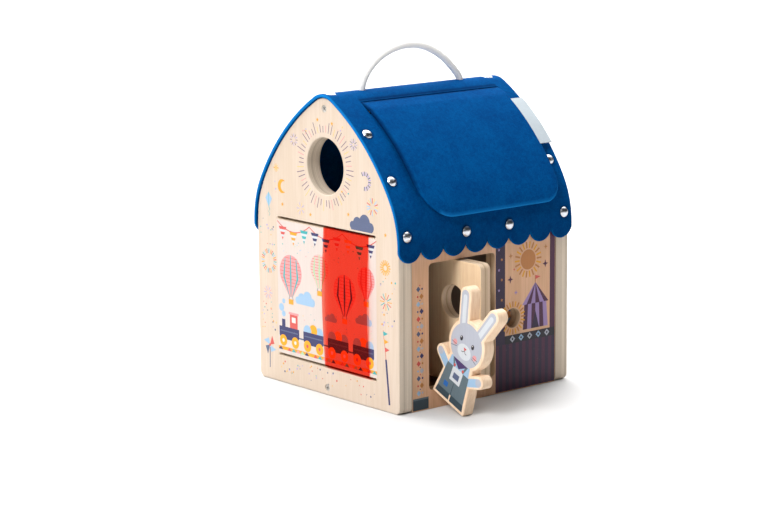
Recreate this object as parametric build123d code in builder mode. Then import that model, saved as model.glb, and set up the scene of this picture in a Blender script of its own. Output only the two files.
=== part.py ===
from build123d import *
import math
import os

# A wooden activity house: two plywood gables, two walls, a felt roof with a lifting flap, a rope
# handle, a door that turns about its middle, a sliding colour filter, a picture disc and a figure.
# X runs along the ridge, Y across a gable, Z up. The origin is the middle of the footprint.
# The gable with the filter faces -X, and the wall with the doorway faces -Y.

os.makedirs("parts", exist_ok=True)

# House body, in millimetres
house_length = 190.0
house_width = 186.0
eave_height = 137.0
shoulder_radius = 77.0
shoulder_turn = 29.5
slope_radius = 198.0
apex_radius = 20.0
gable_thick = 14.5
gable_corner = 5.0
edge_round = 0.9
wall_thick = 11.0
wall_inset = 0.6
wall_rise = 13.0
wall_bevel = 2.0
floor_thick = 12.5
beam_width = 18.0
beam_depth = 15.4

# Doorway and turning door
jamb_width = 18.1
panel_width = 69.5
lintel_height = 15.4
opening_corner = 4.0
sill_height = 15.6
door_side_gap = 2.7
door_end_gap = 1.2
door_corner = 5.5
door_hole_radius = 14.0
door_hole_drop = 35.4
pin_radius = 2.5
pin_in_door = 12.0
pin_in_wall = 13.0

# Colour filter and its slots
slot_length = 130.2
slot_gap = 2.6
slot_middle = 0.5
lower_slot_height = 24.5
upper_slot_rise = 6.5
film_thick = 0.6
film_width = 58.0
film_middle = -27.0
film_gap = 0.3
film_bend = 1.6

# Round window of the filter gable
window_radius = 24.0
window_rise = 57.5

# Felt roof, flap and side tag
felt_overhang = 2.0
felt_thick = 3.0
felt_gap = 0.3
hem_drop = 12.0
scallop_count = 8
scallop_depth = 11.6
seam_place = 17.5
seam_gap = 1.5
flap_left_margin = 24.0
flap_right_margin = 12.5
flap_drop = 119.0
flap_neck = 15.0
flap_lift_gap = 0.3
flap_stand_off = 3.6
flap_left_corner = 33.0
flap_right_corner = 18.0
hatch_lap = 8.0
hatch_corner = 12.0
hatch_reach = 40.0
tag_start = 38.5
tag_length = 49.0
tag_width = 12.5
tag_thick = 1.0

# Rope handle
rope_radius = 3.0
rope_hole_radius = 4.8
rope_place = 56.0
knot_radius = 6.6
knot_height = 10.0
knot_round = 2.8
knot_gap = 0.2

# Dome nails
nail_head_radius = 4.4
nail_head_height = 2.2
nail_shank_radius = 0.8
nail_shank_length = 8.0
nail_first = 54.5
nail_step = 46.0
nail_steps = 3
nail_seat_gap = 0.1
ridge_dip_radius = 9.0
ridge_dip_depth = 2.4
hem_nail_place = 24.0
hem_nail_rise = 7.0

# Countersunk screws
screw_head_radius = 3.1
screw_shank_radius = 1.6
screw_length = 32.0
screw_sink = 0.3
screw_drop = 9.0

# Wall dowels
dowel_radius = 3.0
dowel_length = 22.0
dowel_in_gable = 9.0
dowel_heights = (30.0, 118.0)

# Finger hole and picture disc
finger_hole_radius = 8.5
finger_hole_margin = 49.1
finger_hole_height = 62.7
disc_radius = 28.0
disc_thick = 5.0
disc_offset = 14.0
disc_round = 0.8
washer_radius = 5.0
washer_thick = 0.8
axle_radius = 2.5
axle_in_wall = 8.0
axle_head_radius = 5.0
axle_head_height = 3.0

# Rabbit figure
figure_side_gap = 3.6
figure_thick = 11.0
figure_tilt = 24.0
figure_base = 41.0
figure_corner = 2.0
figure_round = 1.0
body_height = 46.0
body_top_width = 28.0
head_radius = 21.5
head_height = 57.0
ear_length = 42.0
ear_width = 13.0
ear_spread = 13.0
ear_height = 81.0
ear_lean = 18.0
arm_length = 24.0
arm_width = 11.0
arm_height = 33.0
arm_spread = 19.0
arm_lean = 58.0
upright = 90.0

# Clearances
fit_gap = 0.05
seat_gap = 0.3
end_gap = 0.5
overrun = 5.0

# Places worked out from the sizes above
half_length = house_length / 2
half_width = house_width / 2
inner_half = half_length - gable_thick
wall_length = 2 * inner_half
wall_out = half_width - wall_inset
wall_in = wall_out - wall_thick
wall_middle = wall_out - wall_thick / 2
wall_height = eave_height + wall_rise
upper_slot_height = eave_height + upper_slot_rise
window_height = eave_height + window_rise
felt_length = house_length + 2 * felt_overhang
hem_height = eave_height - hem_drop
hem_nail_height = eave_height + hem_nail_rise
flap_left = flap_left_margin - half_length
flap_right = half_length - flap_right_margin
felt_out = felt_gap + felt_thick
opening_width = wall_length - jamb_width - panel_width
opening_height = eave_height - lintel_height - sill_height
opening_top = sill_height + opening_height
door_centre = jamb_width - inner_half + opening_width / 2
finger_hole_place = inner_half - finger_hole_margin
figure_place = jamb_width - inner_half + figure_side_gap
door_width = opening_width - 2 * door_side_gap
door_height = opening_height - 2 * door_end_gap
door_bottom = sill_height + door_end_gap
door_top = door_bottom + door_height
floor_middle = floor_thick / 2
nail_in_wood = nail_shank_length - felt_out + end_gap
nail_row = half_length - gable_thick / 2
ridge_nail_sink = ridge_dip_depth - ridge_dip_radius + math.sqrt(ridge_dip_radius**2 - nail_head_radius**2)
nail_places = [nail_first + nail_step * step for step in range(nail_steps)]

# The plane on the front wall's inner face that the picture disc turns on, looking into the house
disc_origin = (finger_hole_place + disc_offset, -wall_in, finger_hole_height)
disc_plane = Plane(origin=disc_origin, x_dir=(1, 0, 0), z_dir=(0, 1, 0))

# Centres and end angles of the two arcs on each side of the roof, and their lengths
turn = math.radians(shoulder_turn)
shoulder_centre = (half_width - shoulder_radius, eave_height)
centre_step = shoulder_radius - slope_radius
slope_centre = (
    shoulder_centre[0] + centre_step * math.cos(turn),
    shoulder_centre[1] + centre_step * math.sin(turn),
)
slope_end = math.acos(-slope_centre[0] / slope_radius)
slope_length = slope_radius * (slope_end - turn)
shoulder_length = shoulder_radius * turn


# The point at a distance down the roof from the ridge, and so far out of the wood, with the
# angle of its outward direction above the horizontal
def roof_place(along, out):
    if along < slope_length:
        angle = slope_end - along / slope_radius
        centre, radius = slope_centre, slope_radius + out
    elif along < slope_length + shoulder_length:
        angle = turn - (along - slope_length) / shoulder_radius
        centre, radius = shoulder_centre, shoulder_radius + out
    else:
        below = along - slope_length - shoulder_length
        return half_width + out, eave_height - below, 0.0
    return centre[0] + radius * math.cos(angle), centre[1] + radius * math.sin(angle), angle


# A plane on the roof with its Z outwards: side is -1 at the front, 1 at the back
def roof_plane(x, along, out, side):
    if along == 0:
        return Plane(origin=(x, 0, ridge_height(out)), x_dir=(1, 0, 0), z_dir=(0, 0, 1))
    y, z, angle = roof_place(along, out)
    outward = (0, side * math.cos(angle), math.sin(angle))
    return Plane(origin=(x, side * y, z), x_dir=(1, 0, 0), z_dir=outward)


# The height of the rounded ridge, so far out of the wood
def ridge_height(out):
    radius = slope_radius + out
    fillet_radius = apex_radius + out
    reach = math.sqrt((radius - fillet_radius) ** 2 - slope_centre[0] ** 2)
    return slope_centre[1] + reach + fillet_radius


beam_bottom = ridge_height(0) - beam_depth
screw_top_height = ridge_height(0) - screw_drop


# The roof's section, so far out of the wood and down to a height, as a sketch
def roof_outline(out, bottom):
    side = half_width + out
    small = shoulder_radius + out
    large = slope_radius + out
    top = math.acos(-slope_centre[0] / large)

    def on_shoulder(angle, way):
        x = shoulder_centre[0] + small * math.cos(angle)
        return way * x, shoulder_centre[1] + small * math.sin(angle)

    def on_slope(angle, way):
        x = slope_centre[0] + large * math.cos(angle)
        return way * x, slope_centre[1] + large * math.sin(angle)

    ridge = (0, slope_centre[1] + large * math.sin(top))
    with BuildSketch() as outline:
        with BuildLine():
            Line((-side, bottom), (side, bottom))
            for way in (-1, 1):
                Line((way * side, bottom), (way * side, eave_height))
                ThreePointArc((way * side, eave_height), on_shoulder(turn / 2, way), on_shoulder(turn, way))
                ThreePointArc(on_shoulder(turn, way), on_slope((turn + top) / 2, way), ridge)
        make_face()
        fillet(outline.vertices().sort_by(Axis.Y)[-1], apex_radius + out)
    return outline.sketch


# A round hole, from a plane inwards
def bore(plane, radius, depth):
    with BuildSketch(plane) as mouth:
        Circle(radius)
    extrude(mouth.sketch, amount=-depth, mode=Mode.SUBTRACT)


# The plane on a gable's outer or inner face, looking out of the wood
def gable_plane(side, distance, y, z, way=1):
    return Plane(origin=(side * distance, y, z), x_dir=(0, 1, 0), z_dir=(side * way, 0, 0))


# A gable board with its screw, dowel and nail holes: side is -1 near the filter, 1 at the far end
def gable_board(side):
    with BuildSketch(Plane.YZ.offset(side * half_length)) as outline:
        add(roof_outline(0, 0))
        fillet(outline.vertices().sort_by(Axis.Y)[:2], gable_corner)
    extrude(outline.sketch, amount=-side * gable_thick)
    fillet(faces().filter_by(Axis.X).edges(), edge_round)
    for height in (floor_middle, screw_top_height):
        screw_head(side, height, fit_gap, Mode.SUBTRACT)
        bore(gable_plane(side, half_length, 0, height), screw_shank_radius + fit_gap, gable_thick)
    for place in (-wall_middle, wall_middle):
        for height in dowel_heights:
            seat = gable_plane(side, inner_half, place, height, -1)
            bore(seat, dowel_radius + fit_gap, dowel_in_gable + end_gap)
    bore(roof_plane(side * nail_row, 0, 0, 1), nail_shank_radius + fit_gap, nail_in_wood + ridge_nail_sink)
    for way in (-1, 1):
        for along in nail_places:
            bore(roof_plane(side * nail_row, along, 0, way), nail_shank_radius + fit_gap, nail_in_wood)


# The cone of a countersunk head with its flat a little below the gable's face. Cut as a seat, it
# is grown by a gap and runs on out of the wood.
def screw_head(side, height, grow, mode):
    face = gable_plane(side, half_length - screw_sink, 0, height)
    with BuildSketch(face) as flat:
        Circle(screw_head_radius + grow)
    with BuildSketch(face.offset(screw_shank_radius - screw_head_radius)) as neck:
        Circle(screw_shank_radius + grow)
    loft([flat.sketch, neck.sketch], mode=mode)
    if mode == Mode.SUBTRACT:
        extrude(flat.sketch, amount=overrun, mode=mode)


with BuildPart() as near_gable:
    gable_board(-1)
    with BuildSketch(Plane.YZ.offset(-half_length)):
        with Locations((0, window_height)):
            Circle(window_radius)
        with Locations((slot_middle, lower_slot_height), (slot_middle, upper_slot_height)):
            SlotOverall(slot_length, slot_gap)
    extrude(amount=gable_thick, mode=Mode.SUBTRACT)
    circles = edges().filter_by(GeomType.CIRCLE)
    fillet(circles.filter_by(lambda edge: abs(edge.radius - window_radius) < fit_gap), edge_round)
near_gable.part.label = "near_gable"
export_step(near_gable.part, "parts/near_gable.step")

with BuildPart() as far_gable:
    gable_board(1)
far_gable.part.label = "far_gable"
export_step(far_gable.part, "parts/far_gable.step")


# A wall board, its dowel holes and its hem nail holes: side is -1 at the front, 1 at the back
def wall_board(side):
    outer_face = Plane(origin=(0, side * wall_out, 0), x_dir=(1, 0, 0), z_dir=(0, -1, 0))
    with BuildSketch(outer_face) as outline:
        Rectangle(wall_length, wall_height, align=(Align.CENTER, Align.MIN))
    extrude(outline.sketch, amount=side * wall_thick)
    top_edges = edges().filter_by(Axis.X).group_by(Axis.Z)[-1]
    chamfer(top_edges.sort_by(Axis.Y)[0 if side < 0 else -1], wall_bevel)
    for end in (-1, 1):
        for height in dowel_heights:
            seat = gable_plane(end, inner_half, side * wall_middle, height)
            bore(seat, dowel_radius + fit_gap, dowel_length - dowel_in_gable + end_gap)
    for place in (-hem_nail_place, hem_nail_place):
        seat = Plane(origin=(place, side * wall_out, hem_nail_height), x_dir=(1, 0, 0), z_dir=(0, side, 0))
        bore(seat, nail_shank_radius + fit_gap, nail_in_wood)


with BuildPart() as door_wall:
    wall_board(-1)
    front_plane = Plane.XZ.offset(wall_out)
    with BuildSketch(front_plane):
        with Locations((door_centre, sill_height + opening_height / 2)):
            RectangleRounded(opening_width, opening_height, opening_corner)
        with Locations((finger_hole_place, finger_hole_height)):
            Circle(finger_hole_radius)
    extrude(amount=-wall_thick, mode=Mode.SUBTRACT)
    for height, way in ((sill_height, 1), (opening_top, -1)):
        seat = Plane(origin=(door_centre, -wall_middle, height), z_dir=(0, 0, way))
        bore(seat, pin_radius + fit_gap, pin_in_wall + end_gap)
    bore(disc_plane, axle_radius + fit_gap, axle_in_wall + end_gap)
door_wall.part.label = "door_wall"
export_step(door_wall.part, "parts/door_wall.step")

with BuildPart() as back_wall:
    wall_board(1)
back_wall.part.label = "back_wall"
export_step(back_wall.part, "parts/back_wall.step")

with BuildPart() as floor_board:
    with BuildSketch(Plane.XY):
        Rectangle(wall_length, 2 * wall_in)
    extrude(amount=floor_thick)
    for end in (-1, 1):
        seat = gable_plane(end, inner_half, 0, floor_middle)
        bore(seat, screw_shank_radius + fit_gap, screw_length - gable_thick + end_gap)
floor_board.part.label = "floor_board"
export_step(floor_board.part, "parts/floor_board.step")

with BuildPart() as ridge_beam:
    with BuildSketch(Plane.YZ.offset(-inner_half)):
        add(roof_outline(0, 0))
        with Locations((0, beam_bottom)):
            Rectangle(beam_width, house_width, align=(Align.CENTER, Align.MIN), mode=Mode.INTERSECT)
    extrude(amount=wall_length)
    for end in (-1, 1):
        seat = gable_plane(end, inner_half, 0, screw_top_height)
        bore(seat, screw_shank_radius + fit_gap, screw_length - gable_thick + end_gap)
    with BuildSketch(Plane.XY.offset(beam_bottom)):
        with Locations((-rope_place, 0), (rope_place, 0)):
            Circle(rope_hole_radius)
    extrude(amount=house_width, mode=Mode.SUBTRACT)
ridge_beam.part.label = "ridge_beam"
export_step(ridge_beam.part, "parts/ridge_beam.step")

# The door stands open at rest, square to its wall
with BuildPart() as turning_door:
    with BuildSketch(Plane.YZ.offset(door_centre - wall_thick / 2)):
        with Locations((-wall_middle, (door_bottom + door_top) / 2)):
            RectangleRounded(door_width, door_height, door_corner)
        with Locations((-wall_middle, door_top - door_hole_drop)):
            Circle(door_hole_radius, mode=Mode.SUBTRACT)
    extrude(amount=wall_thick)
    fillet(faces().filter_by(Axis.X).edges(), edge_round)
    for height, way in ((door_bottom, -1), (door_top, 1)):
        seat = Plane(origin=(door_centre, -wall_middle, height), z_dir=(0, 0, way))
        bore(seat, pin_radius + fit_gap, pin_in_door + end_gap)
turning_door.part.label = "turning_door"
export_step(turning_door.part, "parts/turning_door.step")

with BuildPart() as door_pin_top:
    with BuildSketch(Plane.XY.offset(door_top - pin_in_door)):
        with Locations((door_centre, -wall_middle)):
            Circle(pin_radius)
    extrude(amount=pin_in_door + door_end_gap + pin_in_wall)
door_pin_top.part.label = "door_pin_top"
export_step(door_pin_top.part, "parts/door_pin_top.step")

with BuildPart() as door_pin_bottom:
    with BuildSketch(Plane.XY.offset(sill_height - pin_in_wall)):
        with Locations((door_centre, -wall_middle)):
            Circle(pin_radius)
    extrude(amount=pin_in_door + door_end_gap + pin_in_wall)
door_pin_bottom.part.label = "door_pin_bottom"
export_step(door_pin_bottom.part, "parts/door_pin_bottom.step")

# The filter is one band of clear film, closed round the board through both slots
with BuildPart() as filter_band:
    band_depth = gable_thick + 2 * film_gap + 2 * film_thick
    band_height = upper_slot_height - lower_slot_height + film_thick
    band_middle = ((upper_slot_height + lower_slot_height) / 2, half_length - gable_thick / 2)
    with BuildSketch(Plane.XZ.offset(-film_middle - film_width / 2)):
        with Locations((-band_middle[1], band_middle[0])):
            RectangleRounded(band_depth, band_height, film_bend)
            RectangleRounded(
                band_depth - 2 * film_thick,
                band_height - 2 * film_thick,
                film_bend - film_thick,
                mode=Mode.SUBTRACT,
            )
    extrude(amount=film_width)
filter_band.part.label = "filter_band"
export_step(filter_band.part, "parts/filter_band.step")

# The hatch plane lies along the flap's chord: X along the ridge, Y up the slope, Z outwards
seam_y, seam_z, seam_angle = roof_place(seam_place, 0)
foot_y, foot_z, foot_angle = roof_place(seam_place + flap_drop, 0)
flap_chord = math.hypot(foot_y - seam_y, foot_z - seam_z)
chord_out = (0, -(seam_z - foot_z) / flap_chord, (foot_y - seam_y) / flap_chord)
hatch_plane = Plane(origin=(0, -seam_y, seam_z), x_dir=(1, 0, 0), z_dir=chord_out)

with BuildPart() as roof_felt:
    with BuildSketch(Plane.YZ.offset(-felt_length / 2)):
        add(roof_outline(felt_out, hem_height))
        add(roof_outline(felt_gap, hem_height), mode=Mode.SUBTRACT)
    extrude(amount=felt_length)
    scallop_width = felt_length / scallop_count
    scallop_radius = (scallop_width**2 / 4 + scallop_depth**2) / (2 * scallop_depth)
    with BuildSketch(Plane.XZ):
        with Locations((0, hem_height + scallop_depth)):
            Rectangle(felt_length + overrun, scallop_depth + overrun, align=(Align.CENTER, Align.MAX))
        with Locations((0, hem_height + scallop_radius)):
            with GridLocations(scallop_width, 0, scallop_count, 1):
                Circle(scallop_radius, mode=Mode.SUBTRACT)
    extrude(amount=house_width, both=True, mode=Mode.SUBTRACT)
    with BuildSketch(hatch_plane):
        with BuildLine():
            Polyline(
                (flap_left - seat_gap, 0),
                (flap_left - seat_gap, -flap_neck),
                (flap_left + hatch_lap, -flap_neck - hatch_lap),
                (flap_left + hatch_lap, hatch_lap - flap_chord),
                (flap_right - hatch_lap, hatch_lap - flap_chord),
                (flap_right - hatch_lap, -flap_neck - hatch_lap),
                (flap_right + seat_gap, -flap_neck),
                (flap_right + seat_gap, 0),
                close=True,
            )
        make_face()
        fillet(vertices().group_by(Axis.Y)[0], hatch_corner)
    extrude(amount=hatch_reach, both=True, mode=Mode.SUBTRACT)
    with BuildSketch(Plane.XY.offset(ridge_height(0) - overrun)):
        with Locations((-rope_place, 0), (rope_place, 0)):
            Circle(rope_hole_radius)
    extrude(amount=house_width, mode=Mode.SUBTRACT)
    for end in (-1, 1):
        with Locations((end * nail_row, 0, ridge_height(felt_out) - ridge_dip_depth + ridge_dip_radius)):
            Sphere(ridge_dip_radius, mode=Mode.SUBTRACT)
        for way in (-1, 1):
            for along in [0] + nail_places:
                seat = roof_plane(end * nail_row, along, felt_out + overrun, way)
                bore(seat, nail_shank_radius + fit_gap, felt_out + 2 * overrun)
    for way in (-1, 1):
        for place in (-hem_nail_place, hem_nail_place):
            edge = way * (half_width + felt_out)
            seat = Plane(origin=(place, edge, hem_nail_height), x_dir=(1, 0, 0), z_dir=(0, way, 0))
            bore(seat, nail_shank_radius + fit_gap, felt_out + overrun)
roof_felt.part.label = "roof_felt"
export_step(roof_felt.part, "parts/roof_felt.step")


# How far the flap's underside stands out of the wood, at a distance down from the ridge
def flap_out(along):
    rest = (along - seam_place - flap_neck) / (flap_drop - flap_neck)
    return felt_out + flap_lift_gap + flap_stand_off * max(rest, 0)


# A curved strip on the front slope between two distances from the ridge, as a sketch
def slope_strip(start, end, start_out, end_out, thick):
    middle = (start + end) / 2
    middle_out = (start_out + end_out) / 2
    lower = [roof_place(start, start_out), roof_place(middle, middle_out), roof_place(end, end_out)]
    upper = [
        roof_place(start, start_out + thick),
        roof_place(middle, middle_out + thick),
        roof_place(end, end_out + thick),
    ]
    lower = [(-y, z) for y, z, angle in lower]
    upper = [(-y, z) for y, z, angle in upper]
    with BuildSketch() as strip:
        with BuildLine():
            ThreePointArc(*lower)
            Line(lower[2], upper[2])
            ThreePointArc(*reversed(upper))
            Line(upper[0], lower[0])
        make_face()
    return strip.sketch


# The flap leaves the felt's own level at the seam and lies over it lower down
with BuildPart() as roof_flap:
    flap_start = seam_place + seam_gap
    neck_end = seam_place + flap_neck
    flap_end = seam_place + flap_drop
    with BuildSketch(Plane.YZ.offset(flap_left)):
        lap_end = flap_end + overrun
        add(slope_strip(flap_start, neck_end, felt_gap, flap_out(neck_end), felt_thick))
        add(slope_strip(neck_end, lap_end, flap_out(neck_end), flap_out(lap_end), felt_thick))
    extrude(amount=flap_right - flap_left)
    with BuildSketch(hatch_plane):
        flap_width = flap_right - flap_left
        with Locations((flap_left, -flap_chord)):
            Rectangle(flap_width, flap_chord + overrun, align=Align.MIN)
        fillet(vertices().group_by(Axis.Y)[0].sort_by(Axis.X)[0], flap_left_corner)
        fillet(vertices().group_by(Axis.Y)[0].sort_by(Axis.X)[-1], flap_right_corner)
    extrude(amount=hatch_reach, both=True, mode=Mode.INTERSECT)
roof_flap.part.label = "roof_flap"
export_step(roof_flap.part, "parts/roof_flap.step")

# The tag is sewn into the flap's far edge, high enough to pass over the nails
with BuildPart() as side_tag:
    tag_out = felt_thick - tag_thick
    with BuildSketch(Plane.YZ.offset(flap_right)):
        tag_end = tag_start + tag_length
        start_out = flap_out(tag_start) + tag_out
        add(slope_strip(tag_start, tag_end, start_out, flap_out(tag_end) + tag_out, tag_thick))
    extrude(amount=tag_width)
side_tag.part.label = "side_tag"
export_step(side_tag.part, "parts/side_tag.step")

# The rope's route, chosen by hand, with heights above the beam's underside: up through the ridge,
# over in one arch and down again
rope_route = [
    (-56.0, 0, 0.1),
    (-56.4, 0, 18.5),
    (-48.2, 0, 35.4),
    (-27.4, 0, 49.8),
    (3.3, 0, 54.2),
    (30.8, 0, 44.0),
    (50.2, 0, 26.6),
    (56.4, 0, 17.5),
    (56.0, 0, 0.1),
]
rope_points = [Vector(x, y, beam_bottom + rise) for x, y, rise in rope_route]
arc_share = 0.45
arc_radii = []
for before, corner, after in zip(rope_points, rope_points[1:], rope_points[2:]):
    bend = math.radians((corner - before).get_angle(after - corner))
    shorter = min((corner - before).length, (after - corner).length)
    arc_radii.append(arc_share * shorter / math.tan(bend / 2))
print("rope bend radii", [round(radius, 1) for radius in arc_radii])

with BuildPart() as rope_handle:
    with BuildLine() as rope_path:
        FilletPolyline(*rope_points, radius=arc_radii)
    with BuildSketch(Plane(origin=rope_points[0], z_dir=(0, 0, 1))):
        Circle(rope_radius)
    sweep(path=rope_path.line)
rope_length = sum(edge.length for edge in rope_path.edges())
rope_section = math.pi * rope_radius**2
print("rope length", round(rope_length, 1))
rope_volume_share = rope_handle.part.volume / (rope_section * rope_length)
print("rope volume over section times length", round(rope_volume_share, 4))
rope_handle.part.label = "rope_handle"
export_step(rope_handle.part, "parts/rope_handle.step")

with BuildPart() as rope_knots:
    for x in (-rope_place, rope_place):
        with BuildSketch(Plane.XY.offset(beam_bottom - knot_gap)):
            with Locations((x, 0)):
                Circle(knot_radius)
        extrude(amount=-knot_height)
    fillet(edges().filter_by(GeomType.CIRCLE), knot_round)
rope_knots.part.label = "rope_knots"
export_step(rope_knots.part, "parts/rope_knots.step")


# A dome nail standing on a plane, its shank running inwards
def dome_nail(seat):
    side_plane = Plane(origin=seat.origin, x_dir=seat.x_dir, z_dir=-seat.y_dir)
    dome_radius = (nail_head_radius**2 + nail_head_height**2) / (2 * nail_head_height)
    half_turn = math.asin(nail_head_radius / dome_radius) / 2
    dome_middle = (
        dome_radius * math.sin(half_turn),
        nail_head_height - dome_radius * (1 - math.cos(half_turn)),
    )
    with BuildSketch(side_plane) as section:
        with BuildLine():
            Polyline(
                (0, nail_head_height),
                (0, -nail_shank_length),
                (nail_shank_radius, nail_shank_radius - nail_shank_length),
                (nail_shank_radius, 0),
                (nail_head_radius, 0),
            )
            ThreePointArc((nail_head_radius, 0), dome_middle, (0, nail_head_height))
        make_face()
    revolve(section.sketch, axis=Axis(seat.origin, seat.z_dir))


# The nails that hold the felt to one gable: the one on the ridge sits in a dip that it pulls in
def gable_nails(end):
    dome_nail(roof_plane(end * nail_row, 0, felt_out + nail_seat_gap - ridge_nail_sink, 1))
    for way in (-1, 1):
        for along in nail_places:
            dome_nail(roof_plane(end * nail_row, along, felt_out + nail_seat_gap, way))


# The two nails that hold the felt's hem to one wall
def hem_nails(way):
    face = way * (half_width + felt_out + nail_seat_gap)
    for place in (-hem_nail_place, hem_nail_place):
        dome_nail(Plane(origin=(place, face, hem_nail_height), x_dir=(1, 0, 0), z_dir=(0, way, 0)))


with BuildPart() as near_gable_nails:
    gable_nails(-1)
near_gable_nails.part.label = "near_gable_nails"
export_step(near_gable_nails.part, "parts/near_gable_nails.step")

with BuildPart() as far_gable_nails:
    gable_nails(1)
far_gable_nails.part.label = "far_gable_nails"
export_step(far_gable_nails.part, "parts/far_gable_nails.step")

with BuildPart() as front_hem_nails:
    hem_nails(-1)
front_hem_nails.part.label = "front_hem_nails"
export_step(front_hem_nails.part, "parts/front_hem_nails.step")

with BuildPart() as back_hem_nails:
    hem_nails(1)
back_hem_nails.part.label = "back_hem_nails"
export_step(back_hem_nails.part, "parts/back_hem_nails.step")


# The two screws through one gable, into the floor board and the ridge beam
def gable_screws(side):
    head_depth = screw_head_radius - screw_shank_radius
    for height in (floor_middle, screw_top_height):
        screw_head(side, height, 0, Mode.ADD)
        with BuildSketch(gable_plane(side, half_length - screw_sink - head_depth, 0, height)) as shank:
            Circle(screw_shank_radius)
        extrude(shank.sketch, amount=head_depth + screw_sink - screw_length)


with BuildPart() as near_gable_screws:
    gable_screws(-1)
near_gable_screws.part.label = "near_gable_screws"
export_step(near_gable_screws.part, "parts/near_gable_screws.step")

with BuildPart() as far_gable_screws:
    gable_screws(1)
far_gable_screws.part.label = "far_gable_screws"
export_step(far_gable_screws.part, "parts/far_gable_screws.step")


# The four dowels that join one wall to both gables
def wall_dowels(side):
    for end in (-1, 1):
        for height in dowel_heights:
            seat = gable_plane(end, inner_half + dowel_in_gable, side * wall_middle, height)
            with BuildSketch(seat) as face:
                Circle(dowel_radius)
            extrude(face.sketch, amount=-dowel_length)


with BuildPart() as front_wall_dowels:
    wall_dowels(-1)
front_wall_dowels.part.label = "front_wall_dowels"
export_step(front_wall_dowels.part, "parts/front_wall_dowels.step")

with BuildPart() as back_wall_dowels:
    wall_dowels(1)
back_wall_dowels.part.label = "back_wall_dowels"
export_step(back_wall_dowels.part, "parts/back_wall_dowels.step")

# The picture disc turns behind the finger hole, between two washers on a shouldered screw
disc_gap = washer_thick + 2 * fit_gap

with BuildPart() as picture_disc:
    with BuildSketch(disc_plane.offset(disc_gap)):
        Circle(disc_radius)
        Circle(axle_radius + fit_gap, mode=Mode.SUBTRACT)
    extrude(amount=disc_thick)
    circles = edges().filter_by(GeomType.CIRCLE)
    fillet(circles.filter_by(lambda edge: abs(edge.radius - disc_radius) < fit_gap), disc_round)
picture_disc.part.label = "picture_disc"
export_step(picture_disc.part, "parts/picture_disc.step")

with BuildPart() as disc_washers:
    for start in (fit_gap, disc_gap + disc_thick + fit_gap):
        with BuildSketch(disc_plane.offset(start)):
            Circle(washer_radius)
            Circle(axle_radius + fit_gap, mode=Mode.SUBTRACT)
        extrude(amount=washer_thick)
disc_washers.part.label = "disc_washers"
export_step(disc_washers.part, "parts/disc_washers.step")

with BuildPart() as disc_axle:
    head_start = disc_gap + disc_thick + washer_thick + 2 * fit_gap
    with BuildSketch(disc_plane.offset(-axle_in_wall)):
        Circle(axle_radius)
    extrude(amount=axle_in_wall + head_start)
    with BuildSketch(disc_plane.offset(head_start)):
        Circle(axle_head_radius)
    extrude(amount=axle_head_height)
    fillet(edges().sort_by(Axis.Y)[-1], axle_head_height / 2)
disc_axle.part.label = "disc_axle"
export_step(disc_axle.part, "parts/disc_axle.step")

# The figure leans out of the doorway: its outer foot is on the ground, its inner foot at the sill
tilt = math.radians(figure_tilt)
corner_slack = figure_corner * (math.cos(tilt) + math.sin(tilt) - 1)
foot_out = -wall_out - seat_gap - figure_base * math.cos(tilt) + corner_slack
foot_up = seat_gap / 2 - corner_slack
base_middle = (
    figure_place,
    foot_out + figure_base / 2 * math.cos(tilt),
    foot_up + figure_base / 2 * math.sin(tilt),
)
figure_plane = Plane(origin=base_middle, x_dir=(0, math.cos(tilt), math.sin(tilt)), z_dir=(1, 0, 0))

with BuildPart() as rabbit_figure:
    with BuildSketch(figure_plane):
        with BuildLine():
            Polyline(
                (-figure_base / 2, 0),
                (figure_base / 2, 0),
                (body_top_width / 2, body_height),
                (-body_top_width / 2, body_height),
                close=True,
            )
        make_face()
        with Locations((0, head_height)):
            Circle(head_radius)
        for way in (-1, 1):
            with Locations(Location((way * ear_spread, ear_height), upright - way * ear_lean)):
                SlotOverall(ear_length, ear_width)
            with Locations(Location((way * arm_spread, arm_height), upright - way * arm_lean)):
                SlotOverall(arm_length, arm_width)
    extrude(amount=figure_thick)
    figure_up = Axis(base_middle, figure_plane.y_dir)
    fillet(edges().filter_by(Axis.X).group_by(figure_up)[0], figure_corner)
    fillet(faces().filter_by(Axis.X).edges(), figure_round)
rabbit_figure.part.label = "rabbit_figure"
export_step(rabbit_figure.part, "parts/rabbit_figure.step")
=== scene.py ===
import math
import random

import bmesh
import bpy
from mathutils import Matrix, Vector


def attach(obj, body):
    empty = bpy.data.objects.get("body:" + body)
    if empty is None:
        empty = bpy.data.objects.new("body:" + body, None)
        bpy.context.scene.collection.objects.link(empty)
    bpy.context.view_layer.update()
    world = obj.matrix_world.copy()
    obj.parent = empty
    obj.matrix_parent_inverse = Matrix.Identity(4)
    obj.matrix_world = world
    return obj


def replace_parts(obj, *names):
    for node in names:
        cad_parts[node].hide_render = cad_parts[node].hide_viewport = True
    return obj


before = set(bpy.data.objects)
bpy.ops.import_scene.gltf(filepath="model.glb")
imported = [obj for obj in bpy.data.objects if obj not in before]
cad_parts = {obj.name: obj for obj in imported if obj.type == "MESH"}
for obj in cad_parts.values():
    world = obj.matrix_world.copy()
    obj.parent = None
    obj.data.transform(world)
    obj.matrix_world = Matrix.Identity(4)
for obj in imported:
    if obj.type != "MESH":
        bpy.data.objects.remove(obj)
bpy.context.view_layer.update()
mm = 0.001

# The camera stands where the photograph was taken from
viewSettings = {
    "target": (-0.03507, 0, 0.11342),
    "distance": 2.05309,
    "turn": 40.04,
    "tilt": 10.85,
    "roll": -0.47,
    "lens": 114.34,
}


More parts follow.
